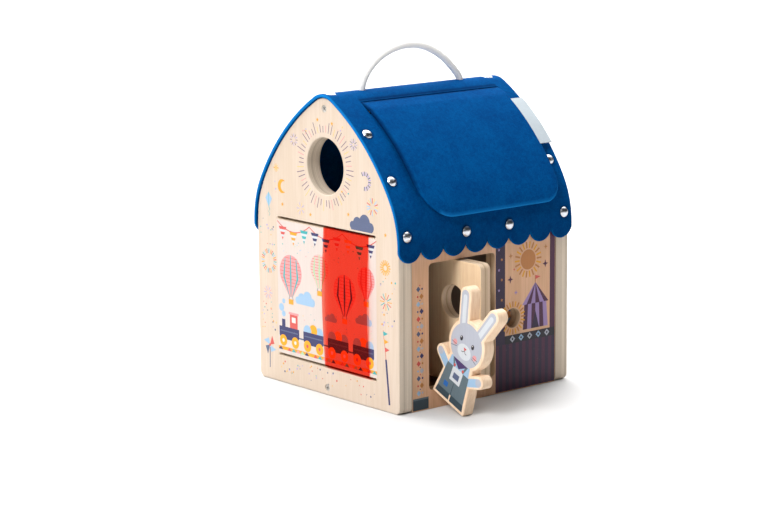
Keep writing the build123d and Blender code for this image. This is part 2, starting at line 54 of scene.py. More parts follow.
def placeCamera(settings):
    turn, tilt, roll = (math.radians(settings[name]) for name in ("turn", "tilt", "roll"))
    ahead = Vector((math.cos(tilt) * math.sin(turn), math.cos(tilt) * math.cos(turn), -math.sin(tilt)))
    side = Vector((math.cos(turn), -math.sin(turn), 0))
    up = side.cross(ahead)
    rolledSide = side * math.cos(roll) + up * math.sin(roll)
    rolledUp = up * math.cos(roll) - side * math.sin(roll)
    camera = bpy.data.objects.new("camera", bpy.data.cameras.new("camera"))
    bpy.context.scene.collection.objects.link(camera)
    place = Matrix((rolledSide, rolledUp, -ahead)).transposed().to_4x4()
    place.translation = Vector(settings["target"]) - ahead * settings["distance"]
    camera.matrix_world = place
    camera.data.lens = settings["lens"]
    camera.data.sensor_width = 36
    camera.data.clip_end = 100
    bpy.context.scene.camera = camera


placeCamera(viewSettings)
print("camera placed")


# A socket in a material: + - * / and abs add the nodes for them
class Flow:
    def __init__(self, finish, socket):
        self.finish = finish
        self.socket = socket

    def __getitem__(self, name):
        return Flow(self.finish, self.socket.node.outputs[name])

    def sum(self, operation, first, second=0.0):
        return self.finish.node("ShaderNodeMath", {"operation": operation}, {0: first, 1: second})

    def __add__(self, other):
        return self.sum("ADD", self, other)

    def __radd__(self, other):
        return self.sum("ADD", other, self)

    def __sub__(self, other):
        return self.sum("SUBTRACT", self, other)

    def __rsub__(self, other):
        return self.sum("SUBTRACT", other, self)

    def __mul__(self, other):
        return self.sum("MULTIPLY", self, other)

    def __rmul__(self, other):
        return self.sum("MULTIPLY", other, self)

    def __truediv__(self, other):
        return self.sum("DIVIDE", self, other)

    def __rtruediv__(self, other):
        return self.sum("DIVIDE", other, self)

    def __abs__(self):
        return self.sum("ABSOLUTE", self)


# A material, or the room round the object, and the nodes in it
class Finish:
    def __init__(self, name, room=None):
        self.material = room or bpy.data.materials.new(name)
        self.material.use_nodes = True
        self.tree = self.material.node_tree
        self.tree.nodes.clear()

    def node(self, kind, settings=None, sockets=None, out=0):
        made = self.tree.nodes.new(kind)
        for name, value in (settings or {}).items():
            if name == "stops":
                ramp = made.color_ramp
                while len(ramp.elements) < len(value):
                    ramp.elements.new(0.5)
                for element, (place, colour) in zip(ramp.elements, value):
                    element.position = place
                    element.color = colour
            else:
                setattr(made, name, value)
        for name, value in (sockets or {}).items():
            if isinstance(value, Flow):
                self.tree.links.new(value.socket, made.inputs[name])
            else:
                made.inputs[name].default_value = value
        return Flow(self, made.outputs[out]) if made.outputs else None

    def place(self):
        return self.node("ShaderNodeTexCoord", out="Object")

    def facing(self):
        return self.node("ShaderNodeSeparateXYZ", {}, {0: self.node("ShaderNodeTexCoord", out="Normal")})

    def stretched(self, scale):
        return self.node("ShaderNodeVectorMath", {"operation": "MULTIPLY"}, {0: self.place(), 1: scale})

    def noise(self, scale, detail=2.0, stretch=(1, 1, 1), distortion=0.0):
        values = {"Vector": self.stretched(stretch), "Scale": scale}
        values.update({"Detail": detail, "Distortion": distortion})
        return self.node("ShaderNodeTexNoise", {}, values)["Fac"]

    def mix(self, share, first, second, way="MIX"):
        settings = {"data_type": "RGBA", "blend_type": way, "clamp_factor": True}
        return self.node("ShaderNodeMix", settings, {0: share, 6: first, 7: second}, out=2)

    def between(self, value, low, high):
        settings = {"interpolation_type": "SMOOTHSTEP"}
        return self.node("ShaderNodeMapRange", settings, {0: value, 1: low, 2: high, 3: 0.0, 4: 1.0})

    def bump(self, height, strength, distance):
        values = {"Height": height, "Strength": strength, "Distance": distance}
        return self.node("ShaderNodeBump", {}, values)

    def surface(self, shader):
        self.node("ShaderNodeOutputMaterial", {}, {"Surface": shader})
        return self.material

    def principled(self, values):
        return self.node("ShaderNodeBsdfPrincipled", {}, values)


# A colour written as on a screen, 0 to 255, as the shader needs it
def tint(red, green, blue):
    def straight(level):
        level /= 255
        return level / 12.92 if level <= 0.04045 else ((level + 0.055) / 1.055) ** 2.4

    return straight(red), straight(green), straight(blue), 1.0


def axisOf(flow, axis):
    return flow["XYZ"[axis]]


# Plywood: face grain along one axis, and on the edges the layers one above the other
def plywood(name, s):
    finish = Finish(name)
    stretch = [s["fine"]] * 3
    stretch[s["grain"]] = s["fine"] * 0.035
    fibres = finish.noise(1.0, 4.0, stretch)
    bands = finish.noise(0.12, 2.0, stretch, 0.6)
    pores = finish.noise(2.6, 1.0, stretch)
    share = finish.between(fibres * 0.55 + bands * 0.45, 0.36, 0.68)
    face = finish.mix(share, s["dark"], s["pale"])
    face = finish.mix(finish.between(pores, 0.66, 0.78) * 0.35, face, s["pore"])
    height = fibres * 0.6 + pores * 0.4
    if s.get("plies"):
        place = finish.node("ShaderNodeSeparateXYZ", {}, {0: finish.place()})
        wander = finish.noise(26.0, 1.0) * 0.0004
        layer = (axisOf(place, s["across"]) - s["start"] + wander) / s["plies"]
        whole = layer.sum("FLOOR", layer)
        oneWay = {"noise_dimensions": "1D"}
        tone = finish.node("ShaderNodeTexWhiteNoise", oneWay, {"W": whole + 0.5}, out="Value")
        within = abs(layer - whole - 0.5)
        glue = finish.between(within, 0.38, 0.5)
        speck = finish.noise(900.0, 2.0)
        edge = finish.mix(tone * 0.75 + speck * 0.25, s["edgeDark"], s["edgePale"])
        edge = finish.mix(glue * s["glueShare"], edge, s["glue"])
        side = abs(axisOf(finish.facing(), s["across"]))
        onFace = finish.between(side, 0.45, 0.72)
        face = finish.mix(onFace, edge, face)
        # painted shade: the faces that look into the house are mixed towards the shade colour
        inwards = axisOf(finish.facing(), s["across"]) * axisOf(place, s["across"]) * -s["inner"]
        face = finish.mix(finish.between(inwards, 0.02, 0.04) * 0.8, face, s["shade"])
        height = height + (1 - onFace) * (tone * 0.8 - glue)
    rough = 0.48 + 0.18 * fibres
    values = {"Base Color": face, "Roughness": rough, "Normal": finish.bump(height, 0.22, 0.00025)}
    values["Specular IOR Level"] = 0.35
    return finish.surface(finish.principled(values))


# "inner" is 1 where the faces that look into the house are darker: painted shade for the dark hollow inside
gablePly = {
    "fine": 640.0, "grain": 2, "across": 0, "start": -0.095, "plies": 0.00161, "glueShare": 0.5,
    "pale": tint(206, 189, 173), "dark": tint(199, 180, 160), "pore": tint(180, 156, 132),
    "edgePale": tint(226, 211, 192), "edgeDark": tint(190, 174, 154), "glue": tint(140, 120, 98),
    "inner": 1.0, "shade": tint(96, 70, 50),
}
wallPly = {
    "fine": 640.0, "grain": 2, "across": 1, "start": -0.0924, "plies": 0.00157, "glueShare": 0.35,
    "pale": tint(222, 178, 144), "dark": tint(207, 161, 126), "pore": tint(164, 120, 84),
    "edgePale": tint(214, 190, 162), "edgeDark": tint(170, 144, 116), "glue": tint(120, 94, 70),
    "inner": 1.0, "shade": tint(96, 70, 50),
}
# the back wall is the same plywood made darker: painted shade against the bright light from behind
backPly = dict(wallPly, pale=tint(196, 170, 142), dark=tint(182, 154, 126))
loosePly = dict(wallPly, inner=0.0)
doorPly = dict(loosePly, across=0, start=-0.0312, pale=tint(238, 212, 176), dark=tint(228, 196, 158))
# the floor board inside is darker all over: painted shade for the dark hollow of the house
floorPly = dict(loosePly, across=2, start=0.0, grain=0, pale=tint(150, 112, 82), dark=tint(132, 96, 68))
discPly = dict(loosePly, start=-0.0805, plies=0.00125)
beech = {
    "fine": 700.0, "grain": 2,
    "pale": tint(240, 214, 186), "dark": tint(228, 196, 164), "pore": tint(188, 146, 112),
}


def metal(name, colour, rough, dirt):
    finish = Finish(name)
    smear = finish.noise(420.0, 3.0)
    specks = finish.between(finish.noise(1500.0, 2.0), 0.62, 0.75)
    base = finish.mix(specks * dirt, colour, tint(70, 62, 54))
    values = {"Base Color": base, "Metallic": 1.0, "Roughness": rough + 0.12 * smear}
    return finish.surface(finish.principled(values))


dressing = (
    (plywood("gablePlywood", gablePly), ["near_gable", "far_gable"]),
    (plywood("wallPlywood", wallPly), ["door_wall"]),
    (plywood("backPlywood", backPly), ["back_wall"]),
    (plywood("doorPlywood", doorPly), ["turning_door"]),
    (plywood("floorPlywood", floorPly), ["floor_board"]),
    (plywood("discPlywood", discPly), ["picture_disc"]),
    (plywood("figureBeech", beech), ["rabbit_figure"]),
    (plywood("beamBeech", dict(beech, grain=0)), ["ridge_beam", "front_wall_dowels", "back_wall_dowels"]),
    (metal("nailChrome", tint(206, 208, 214), 0.24, 0.25),
     ["near_gable_nails", "far_gable_nails", "front_hem_nails", "back_hem_nails"]),
    (metal("pinSteel", tint(176, 176, 178), 0.22, 0.4),
     ["door_pin_top", "door_pin_bottom", "disc_washers", "disc_axle"]),
)
for material, nodes in dressing:
    for node in nodes:
        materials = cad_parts[node].data.materials
        materials.clear()
        materials.append(material)
print("wood and metal dressed")

# The red film lets the print behind it show through
filmSettings = {"clear": (1.0, 0.5, 0.43, 1), "body": tint(132, 12, 10), "share": 0.03}


def filmFinish(s):
    finish = Finish("redFilm")
    haze = finish.noise(90.0, 2.0)
    body = finish.mix(haze, s["body"], tint(116, 10, 8))
    values = {"Base Color": body, "Roughness": 0.12 + 0.1 * haze, "Specular IOR Level": 0.5}
    clear = finish.node("ShaderNodeBsdfTransparent", {}, {"Color": s["clear"]})
    both = finish.node("ShaderNodeMixShader", {}, {0: s["share"], 1: clear, 2: finish.principled(values)})
    return finish.surface(both)


# A new object from a bmesh, which is used up
def newObject(name, mesh):
    bmesh.ops.recalc_face_normals(mesh, faces=mesh.faces[:])
    data = bpy.data.meshes.new(name)
    mesh.to_mesh(data)
    mesh.free()
    made = bpy.data.objects.new(name, data)
    bpy.context.scene.collection.objects.link(made)
    return made


# A piece in its finish, on its body, smooth except at its sharp edges
def finishMesh(name, mesh, materials, body, sharp=35):
    piece = newObject(name, mesh)
    for material in materials:
        piece.data.materials.append(material)
    piece.data.shade_smooth()
    piece.data.set_sharp_from_angle(angle=math.radians(sharp))
    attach(piece, body)
    return piece


# Rings of points in millimetres, joined one to the next, with a face on each end where it is capped
def ringMesh(outlines, capped=True, closed=False):
    mesh = bmesh.new()
    rings = [[mesh.verts.new([value * mm for value in point]) for point in outline] for outline in outlines]
    for before, after in zip(rings, rings[1:] + (rings[:1] if closed else [])):
        for i in range(len(before)):
            j = (i + 1) % len(before)
            mesh.faces.new((before[i], before[j], after[j], after[i]))
    if capped and not closed:
        mesh.faces.new(rings[0])
        mesh.faces.new(rings[-1])
    return mesh


# One closed mesh with another cut out of it
def cutOut(piece, cutter):
    modifier = piece.modifiers.new("cut", "BOOLEAN")
    modifier.operation = "DIFFERENCE"
    modifier.solver = "EXACT"
    modifier.object = cutter
    graph = bpy.context.evaluated_depsgraph_get()
    cut = bpy.data.meshes.new_from_object(piece.evaluated_get(graph))
    piece.modifiers.clear()
    piece.data = cut
    bpy.data.objects.remove(cutter)


# The roof's section: where a point lies at a distance down from the ridge and out of the wood, in mm
roofShape = {"halfWidth": 93.0, "eave": 137.0, "shoulder": 77.0, "turn": 29.5, "slope": 198.0, "apex": 20.0}


def roofSection(s):
    turn = math.radians(s["turn"])
    shoulderY = s["halfWidth"] - s["shoulder"]
    slopeY = shoulderY + (s["shoulder"] - s["slope"]) * math.cos(turn)
    slopeZ = s["eave"] + (s["shoulder"] - s["slope"]) * math.sin(turn)
    apexZ = slopeZ + math.sqrt((s["slope"] - s["apex"]) ** 2 - slopeY**2)
    slopeEnd = math.acos(-slopeY / s["slope"])
    apexEnd = math.atan2(apexZ - slopeZ, -slopeY)
    apexLength = s["slope"] * (slopeEnd - apexEnd)
    slopeLength = s["slope"] * (slopeEnd - turn)
    shoulderLength = s["shoulder"] * turn

    def point(along, out):
        side = -1 if along < 0 else 1
        along = abs(along)
        if along < apexLength:
            angle = math.pi / 2 - along / apexLength * (math.pi / 2 - apexEnd)
            y, z, radius = 0, apexZ, s["apex"] + out
        elif along < slopeLength:
            angle = slopeEnd - along / s["slope"]
            y, z, radius = slopeY, slopeZ, s["slope"] + out
        elif along < slopeLength + shoulderLength:
            angle = turn - (along - slopeLength) / s["shoulder"]
            y, z, radius = shoulderY, s["eave"], s["shoulder"] + out
        else:
            return side * (s["halfWidth"] + out), s["eave"] - (along - slopeLength - shoulderLength)
        return side * (y + radius * math.cos(angle)), z + radius * math.sin(angle)

    return point, slopeLength + shoulderLength, apexZ + s["apex"]


roofPoint, eaveAlong, ridgeHeight = roofSection(roofShape)


# How full a soft edge is, at a distance in from it
def edgeFullness(distance, radius):
    inwards = 1 - min(max(distance, 0), radius) / radius
    return max(0.22, math.sqrt(1 - inwards * inwards))


# A closed slab from a grid of pairs of points, one on each skin, with a value for each pair
def slab(grid, values=None):
    mesh = bmesh.new()
    layer = mesh.verts.layers.float.new("rim")
    skins = []
    for which in (0, 1):
        skin = []
        for i, row in enumerate(grid):
            made = []
            for j, pair in enumerate(row):
                vertex = mesh.verts.new([value * mm for value in pair[which]])
                vertex[layer] = values[i][j] if values else 0
                made.append(vertex)
            skin.append(made)
        skins.append(skin)
    rows, columns = len(grid), len(grid[0])
    for i in range(rows - 1):
        for j in range(columns - 1):
            for skin in skins:
                mesh.faces.new((skin[i][j], skin[i + 1][j], skin[i + 1][j + 1], skin[i][j + 1]))
    border = [(0, j) for j in range(columns)] + [(i, columns - 1) for i in range(1, rows)]
    border += [(rows - 1, j) for j in range(columns - 2, -1, -1)] + [(i, 0) for i in range(rows - 2, 0, -1)]
    for (i, j), (k, l) in zip(border, border[1:] + border[:1]):
        mesh.faces.new((skins[0][i][j], skins[0][k][l], skins[1][k][l], skins[1][i][j]))
    return mesh


# The film is one closed band through both slots, and its front stands a little away from the board
filmShape = {
    "front": -95.9, "back": -79.6, "low": 24.2, "high": 143.8, "corner": 1.6, "thick": 0.6, "bulge": 2.4,
    "left": -56.0, "right": 2.0, "rows": 30,
}


def makeFilm(s):
    corner = s["corner"]
    section = []
    for step in range(s["rows"] + 1):
        share = step / s["rows"]
        z = s["low"] + corner + (s["high"] - s["low"] - 2 * corner) * share
        section.append((s["front"] - s["bulge"] * math.sin(math.pi * share) ** 1.3, z, -1, 0))
    front, back, low, high = s["front"] + corner, s["back"] - corner, s["low"] + corner, s["high"] - corner
    for middleX, middleZ, start, first, last in (
        (front, high, 180, 1, 7), (back, high, 90, 0, 7), (back, low, 0, 0, 7), (front, low, -90, 1, 6),
    ):
        for step in range(first, last):
            angle = math.radians(start - 15 * step)
            away = (math.cos(angle), math.sin(angle))
            section.append((middleX + corner * away[0], middleZ + corner * away[1], *away))
    rings = []
    for x, z, awayX, awayZ in section:
        innerX, innerZ = x - s["thick"] * awayX, z - s["thick"] * awayZ
        corners = ((x, z, "right"), (x, z, "left"), (innerX, innerZ, "left"), (innerX, innerZ, "right"))
        rings.append([(across, s[side], height) for across, height, side in corners])
    mesh = ringMesh(rings, closed=True)
    return finishMesh("colourFilter", mesh, [filmFinish(filmSettings)], "filter", 40)


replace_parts(makeFilm(filmShape), "filter_band")
print("film made")

# Felt: matted fibres, paler along the cut edges as a painted highlight, and darker where it is pressed round
# the nails, with painted shade there, along the flap's seam and towards the hem
def feltFinish(name, s):
    finish = Finish(name)
    fuzz = finish.noise(1500.0, 4.0)
    matted = finish.noise(330.0, 3.0, distortion=0.8)
    clouds = finish.noise(42.0, 3.0)
    share = finish.between(fuzz * 0.42 + matted * 0.33 + clouds * 0.25, 0.34, 0.66)
    colour = finish.mix(share, s["deep"], s["main"])
    rim = finish.node("ShaderNodeAttribute", {"attribute_name": "rim"}, out="Fac")
    # the rim value: above nought a painted highlight on the cut edges, below nought painted shade, with the
    # pressed felt round the nails
    colour = finish.mix(rim * s["rimShare"], colour, s["rim"])
    colour = finish.mix(rim * -s["pressShare"], colour, s["pressed"])
    height = fuzz * 0.6 + matted * 0.4
    values = {"Base Color": colour, "Roughness": 0.9 + 0.08 * fuzz, "Specular IOR Level": 0.02}
    values["Normal"] = finish.bump(height, 0.5, 0.0004)
    return finish.surface(finish.principled(values))


# the rim colour is a painted highlight; the pressed colour is pressed felt and painted shade
blueFelt = feltFinish("blueFelt", {
    "deep": tint(0, 56, 112), "main": tint(0, 76, 136), "rim": tint(24, 126, 200), "rimShare": 0.7,
    "pressed": tint(0, 18, 52), "pressShare": 0.75,
})

# The felt over the whole roof, with a scalloped hem, soft edges, dips under the nails and the hatch
feltSettings = {
    "length": 194.0, "gap": 0.3, "thick": 3.0, "drop": 12.0, "scallops": 8, "scallopDepth": 11.6,
    "columns": 20, "rows": 78, "hemRows": 14, "hemZone": 26.0, "softEdge": 1.1,
    "sideRows": (0.12, 0.35, 0.75), "hemEnd": (1.5, 0.8, 0.4, 0.15, 0),
    "nails": [(87.75, 54.5), (87.75, 100.5), (87.75, 146.5), (24.0, 149.1)],
    "dipRadius": 7.4, "dipDepth": 0.9,
    "ridgeNail": 87.75, "ridgeDip": 2.4, "ridgeDipRadius": 9.0, "ridgeReach": 7.2,
    "cutWidth": 1.2, "shadeShare": 0.45, "shadeLength": 46.0,
    "flapLeft": -71.0, "flapRight": 82.5, "seamGroove": 16.6, "grooveWidth": 2.6,
}


def scallopRise(x, s):
    width = s["length"] / s["scallops"]
    radius = (width**2 / 4 + s["scallopDepth"] ** 2) / (2 * s["scallopDepth"])
    inPlace = (x + s["length"] / 2) % width - width / 2
    return radius - math.sqrt(max(radius**2 - inPlace**2, 0))


def feltColumns(s):
    width = s["length"] / s["scallops"]
    places = [-s["length"] / 2]
    for scallop in range(s["scallops"]):
        middle = -s["length"] / 2 + (scallop + 0.5) * width
        for step in range(1, s["columns"] + 1):
            places.append(middle + width / 2 * math.sin(math.pi * (step / s["columns"] - 0.5)))
    for inwards in s["sideRows"]:
        places += [-s["length"] / 2 + inwards, s["length"] / 2 - inwards]
    return sorted(places)


def makeRoofFelt(s):
    hemAlong = eaveAlong + s["drop"]
    grid, values = [], []
    half = s["length"] / 2
    for x in feltColumns(s):
        end = hemAlong - scallopRise(x, s)
        alongs = [(hemAlong - s["hemZone"]) * step / s["rows"] for step in range(s["rows"])]
        zone = end - s["hemEnd"][0] - (hemAlong - s["hemZone"])
        alongs += [hemAlong - s["hemZone"] + zone * step / s["hemRows"] for step in range(s["hemRows"] + 1)]
        alongs += [end - inwards for inwards in s["hemEnd"][1:]]
        line, rims = [], []
        for along in [-value for value in reversed(alongs)] + alongs[1:]:
            distance = min(half - abs(x), end - abs(along))
            full = edgeFullness(distance, s["softEdge"])
            middle = s["gap"] + s["thick"] / 2
            outer = middle + s["thick"] / 2 * full
            # painted highlight along the cut edges of the felt
            rim = max(0.0, 1 - distance / s["cutWidth"])
            # painted shade, darker towards the hem
            rim -= s["shadeShare"] * max(0.0, 1 - (end - abs(along)) / s["shadeLength"])
            for nailX, nailAlong in s["nails"]:
                away = math.hypot(abs(x) - nailX, abs(along) - nailAlong)
                if away < s["dipRadius"]:
                    press = math.cos(away / s["dipRadius"] * math.pi / 2) ** 2
                    outer -= s["dipDepth"] * press
                    # darker round each nail: the pressed felt, and painted shade in the dip
                    rim -= min(1.0, press * 1.6)
            # painted shade in a line along the flap's seam
            if s["flapLeft"] < x < s["flapRight"]:
                rim -= max(0.0, 1 - abs(along + s["seamGroove"]) / s["grooveWidth"])
            away = math.hypot(abs(x) - s["ridgeNail"], along)
            if away < s["ridgeReach"]:
                ball = s["ridgeDip"] - s["ridgeDipRadius"] + math.sqrt(s["ridgeDipRadius"] ** 2 - away**2)
                outer -= max(ball, 0.12 * (s["ridgeReach"] - away) / s["ridgeReach"])
            y, z = roofPoint(along, outer)
            innerY, innerZ = roofPoint(along, middle - s["thick"] / 2 * full)
            line.append(((x, y, z), (x, innerY, innerZ)))
            rims.append(rim)
        grid.append(line)
        values.append(rims)
    return finishMesh("roofFelt", slab(grid, values), [blueFelt], "root", 60)


# The hatch under the flap, cut square to the flap's chord
hatchSettings = {
    "left": -71.0, "right": 82.5, "seam": 17.5, "drop": 119.0, "neck": 15.0, "side": 0.3,
    "lap": 8.0, "corner": 12.0, "reach": 40,
}


def hatchCutter(s):
    seamY, seamZ = roofPoint(s["seam"], 0)
    footY, footZ = roofPoint(s["seam"] + s["drop"], 0)
    chord = math.hypot(footY - seamY, footZ - seamZ)
    down = Vector((0, -(footY - seamY) / chord, (footZ - seamZ) / chord))
    out = Vector((0, down.z, -down.y))
    lap, corner = s["lap"], s["corner"]
    left, right = s["left"], s["right"]
    outline = [(left - s["side"], 0), (left - s["side"], s["neck"]), (left + lap, s["neck"] + lap)]
    foot = chord - lap
    for side, way, steps in ((left + lap, 1, range(9)), (right - lap, -1, range(8, -1, -1))):
        for step in steps:
            angle = math.pi / 2 * step / 8
            x = side + way * corner * (1 - math.cos(angle))
            outline.append((x, foot - corner * (1 - math.sin(angle))))
    outline += [(right - lap, s["neck"] + lap), (right + s["side"], s["neck"]), (right + s["side"], 0)]
    origin = Vector((0, -seamY, seamZ))
    rings = []
    for height in (-s["reach"], s["reach"]):
        rings.append([origin + Vector((x, 0, 0)) + down * along + out * height for x, along in outline])
    return newObject("hatch", ringMesh(rings))


roofFelt = makeRoofFelt(feltSettings)
cutOut(roofFelt, hatchCutter(hatchSettings))
roofFelt.data.set_sharp_from_angle(angle=math.radians(50))
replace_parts(roofFelt, "roof_felt")
print("roof felt made")

# The flap that lifts off the roof
flapSettings = {
    "left": -71.0, "right": 82.5, "start": 19.0, "end": 136.5, "neckEnd": 32.5, "thick": 3.0,
    "gap": 0.3, "neckRise": 3.3, "standOff": 3.6,
    "leftCorner": 33.0, "rightCorner": 18.0, "step": 2.0, "rows": 58, "softEdge": 1.2,
    "curl": 0.5, "curlWidth": 9.0, "cutWidth": 2.4, "pressWidth": 3.2,
}


def flapOut(along):
    s = flapSettings
    if along < s["neckEnd"]:
        return s["gap"] + s["neckRise"] * max(along - s["start"], 0) / (s["neckEnd"] - s["start"])
    return s["gap"] + s["neckRise"] + s["standOff"] * (along - s["neckEnd"]) / (s["end"] - s["neckEnd"])


def makeFlap(s):
    def cornerRise(x):
        for corner, inside in ((s["leftCorner"], x - s["left"]), (s["rightCorner"], s["right"] - x)):
            if inside < corner:
                return corner - math.sqrt(max(corner**2 - (corner - inside) ** 2, 0))
        return 0

    columns = []
    for step in range(15):
        share = 1 - math.cos(math.pi / 2 * step / 14)
        columns.append(s["left"] + s["leftCorner"] * share)
        columns.append(s["right"] - s["rightCorner"] * share)
    span = s["right"] - s["rightCorner"] - s["left"] - s["leftCorner"]
    steps = round(span / s["step"])
    columns += [s["left"] + s["leftCorner"] + span * step / steps for step in range(1, steps)]
    columns += [s["left"] + 0.12, s["left"] + 0.6, s["right"] - 0.12, s["right"] - 0.6]
    grid, values = [], []
    for x in sorted(columns):
        end = s["end"] - cornerRise(x)
        alongs = [s["start"], s["start"] + 0.2, s["start"] + 0.6]
        first, zone = s["start"] + 1.2, end - s["start"] - 2.6
        alongs += [first + zone * step / s["rows"] for step in range(s["rows"] + 1)]
        alongs += [end - 0.9, end - 0.5, end - 0.2, end]
        line, rims = [], []
        for along in alongs:
            distance = min(x - s["left"], s["right"] - x, end - along, along - s["start"])
            for corner, beyond in (
                (s["leftCorner"], s["left"] + s["leftCorner"] - x),
                (s["rightCorner"], x - s["right"] + s["rightCorner"]),
            ):
                below = along - (s["end"] - corner)
                if beyond > 0 and below > 0:
                    distance = min(distance, corner - math.hypot(beyond, below))
            full = edgeFullness(distance, s["softEdge"])
            middle = flapOut(along) + s["thick"] / 2
            curl = s["curl"] * max(0.0, 1 - distance / s["curlWidth"]) ** 2 if along > s["neckEnd"] else 0
            outer, inner = (roofPoint(along, middle - curl + way * s["thick"] / 2 * full) for way in (1, -1))
            line.append(((x, -outer[0], outer[1]), (x, -inner[0], inner[1])))
            # painted highlight along the lower cut edge, less painted shade along the left edge and the top
            # seam
            seam = min(x - s["left"], along - s["start"])
            cut = max(0.0, 1 - (end - along) / s["cutWidth"]) if x > s["left"] + s["leftCorner"] / 2 else 0
            rims.append(cut - max(0.0, 1 - seam / s["pressWidth"]))
        grid.append(line)
        values.append(rims)
    return finishMesh("roofFlap", slab(grid, values), [blueFelt], "flap", 60)


roofFlap = makeFlap(flapSettings)
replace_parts(roofFlap, "roof_flap")
print("flap made")

# A bare white ribbon, folded over and sewn under the flap's edge
tagSettings = {
    "start": 38.5, "length": 49.0, "left": 80.8, "fold": 94.6, "thick": 0.45, "layer": 0.3,
    "rows": 40, "lift": 2.45, "wave": 0.1, "bend": 93.5,
    "places": (80.8, 86.0, 90.0, 93.0, 94.1, 94.5), "fullness": (1, 1.02, 1.1, 1.16, 0.9, 0.45),
}


# Woven or braided thread, in ribs, with softer and duller patches
def threadFinish(name, s):
    finish = Finish(name)
    ribs = finish.noise(1.0, s["detail"], s["fine"])
    colour = finish.mix(ribs, s["dark"], s["pale"])
    colour = finish.mix(finish.noise(s["patches"], 2.0) * s["patchShare"], colour, s["patch"])
    values = {"Base Color": colour, "Roughness": s["rough"] + s["rougher"] * ribs}
    values.update({"Normal": finish.bump(ribs, s["bump"], 0.0002), "Sheen Weight": s["sheen"]})
    values["Sheen Roughness"] = s["sheenRough"]
    return finish.surface(finish.principled(values))


whiteRibbon = threadFinish("whiteRibbon", {
    "fine": (300.0, 2600.0, 2600.0), "detail": 1.0, "patches": 120.0, "patchShare": 0.3,
    "dark": tint(164, 174, 181), "pale": tint(182, 192, 198), "patch": tint(158, 168, 175),
    "rough": 0.55, "rougher": 0.2, "bump": 0.3, "sheen": 0.2, "sheenRough": 0.4,
})
whiteRope = threadFinish("whiteRope", {
    "fine": (2300.0, 2300.0, 2300.0), "detail": 3.0, "patches": 150.0, "patchShare": 0.25,
    "dark": tint(228, 226, 222), "pale": tint(250, 248, 244), "patch": tint(220, 217, 212),
    "rough": 0.75, "rougher": 0.15, "bump": 0.35, "sheen": 0.25, "sheenRough": 0.5,
})


def ribbonMesh(s):
    half, layer = s["thick"], s["layer"]
    outer = [(x, half * full) for x, full in zip(s["places"], s["fullness"])]
    outer = outer + [(s["fold"], 0)] + [(x, -height) for x, height in reversed(outer)]
    inner = [(x - (layer if x > s["bend"] else 0), height * (half - layer) / half) for x, height in outer]
    loop = outer + inner[::-1]
    rings = []
    for step in range(s["rows"] + 1):
        along = s["start"] + s["length"] * step / s["rows"]
        wave = s["wave"] * math.sin(step * 0.34)
        ring = []
        for x, height in loop:
            far = (x - s["left"]) / (s["fold"] - s["left"])
            y, z = roofPoint(along, flapOut(along) + s["lift"] + wave * far + height)
            ring.append((x, -y, z))
        rings.append(ring)
    mesh = ringMesh(rings, capped=False)
    mesh.verts.ensure_lookup_table()
    around, turns = len(loop), len(outer)
    for first in (0, around * s["rows"]):
        ring = mesh.verts[first:first + around]
        for i in range(turns - 1):
            mesh.faces.new((ring[i], ring[i + 1], ring[around - 2 - i], ring[around - 1 - i]))
    return mesh


sideTag = finishMesh("sideTag", ribbonMesh(tagSettings), [whiteRibbon], "flap", 50)
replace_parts(sideTag, "side_tag")
print("tag made")

# The rope handle follows one smooth curve from knot to knot
ropeSettings = {
    "underside": 0.235988, "radius": 0.003, "around": 48, "ringStep": 0.0005, "lobes": 4, "twist": 1080.0,
    "depth": 0.055,
    "route": [
        (-0.056, 0, 0.0001), (-0.0564, 0, 0.0185), (-0.0482, 0, 0.0354), (-0.0274, 0, 0.0498),
        (0.0033, 0, 0.0542), (0.0308, 0, 0.044), (0.0502, 0, 0.0266), (0.0564, 0, 0.0175),
        (0.056, 0, 0.0001),
    ],
}


def routePoints(s):
    curve = bpy.data.curves.new("ropeRoute", "CURVE")
    curve.dimensions = "3D"
    curve.resolution_u = 48
    spline = curve.splines.new("NURBS")
    spline.points.add(len(s["route"]) - 1)
    for point, (x, y, rise) in zip(spline.points, s["route"]):
        point.co = (x, y, s["underside"] + rise, 1)
    spline.order_u = 3
    spline.use_endpoint_u = True
    carrier = bpy.data.objects.new("ropeRoute", curve)
    bpy.context.scene.collection.objects.link(carrier)
    graph = bpy.context.evaluated_depsgraph_get()
    line = bpy.data.meshes.new_from_object(carrier.evaluated_get(graph))
    points = [vertex.co.copy() for vertex in line.vertices]
    bpy.data.objects.remove(carrier)
    bpy.data.meshes.remove(line)
    return points


# Points an even step apart along a line
def evenly(points, step):
    lengths = [0.0]
    for a, b in zip(points, points[1:]):
        lengths.append(lengths[-1] + (b - a).length)
    count = max(2, round(lengths[-1] / step))
    found, piece = [], 0
    for number in range(count + 1):
        target = lengths[-1] * number / count
        while piece < len(points) - 2 and lengths[piece + 1] < target:
            piece += 1
        span = lengths[piece + 1] - lengths[piece]
        found.append(points[piece].lerp(points[piece + 1], (target - lengths[piece]) / span if span else 0))
    return found, lengths[-1]


# A closed tube round a line, its radius given by the turn round it and the distance along it
def tube(points, radiusAt, around, across=Vector((0, 1, 0)), closed=False):
    rings, along = [], 0.0
    for i, point in enumerate(points):
        before = points[i - 1] if i or closed else point
        after = points[(i + 1) % len(points)] if i + 1 < len(points) or closed else point
        tangent = (after - before).normalized()
        across = (across - tangent * across.dot(tangent)).normalized()
        other = tangent.cross(across)
        along += (point - points[i - 1]).length if i else 0
        ring = []
        for step in range(around):
            angle = 2 * math.pi * step / around
            radius = radiusAt(angle, along)
            ring.append((point + (across * math.cos(angle) + other * math.sin(angle)) * radius) / mm)
        rings.append(ring)
    return ringMesh(rings, closed=closed)


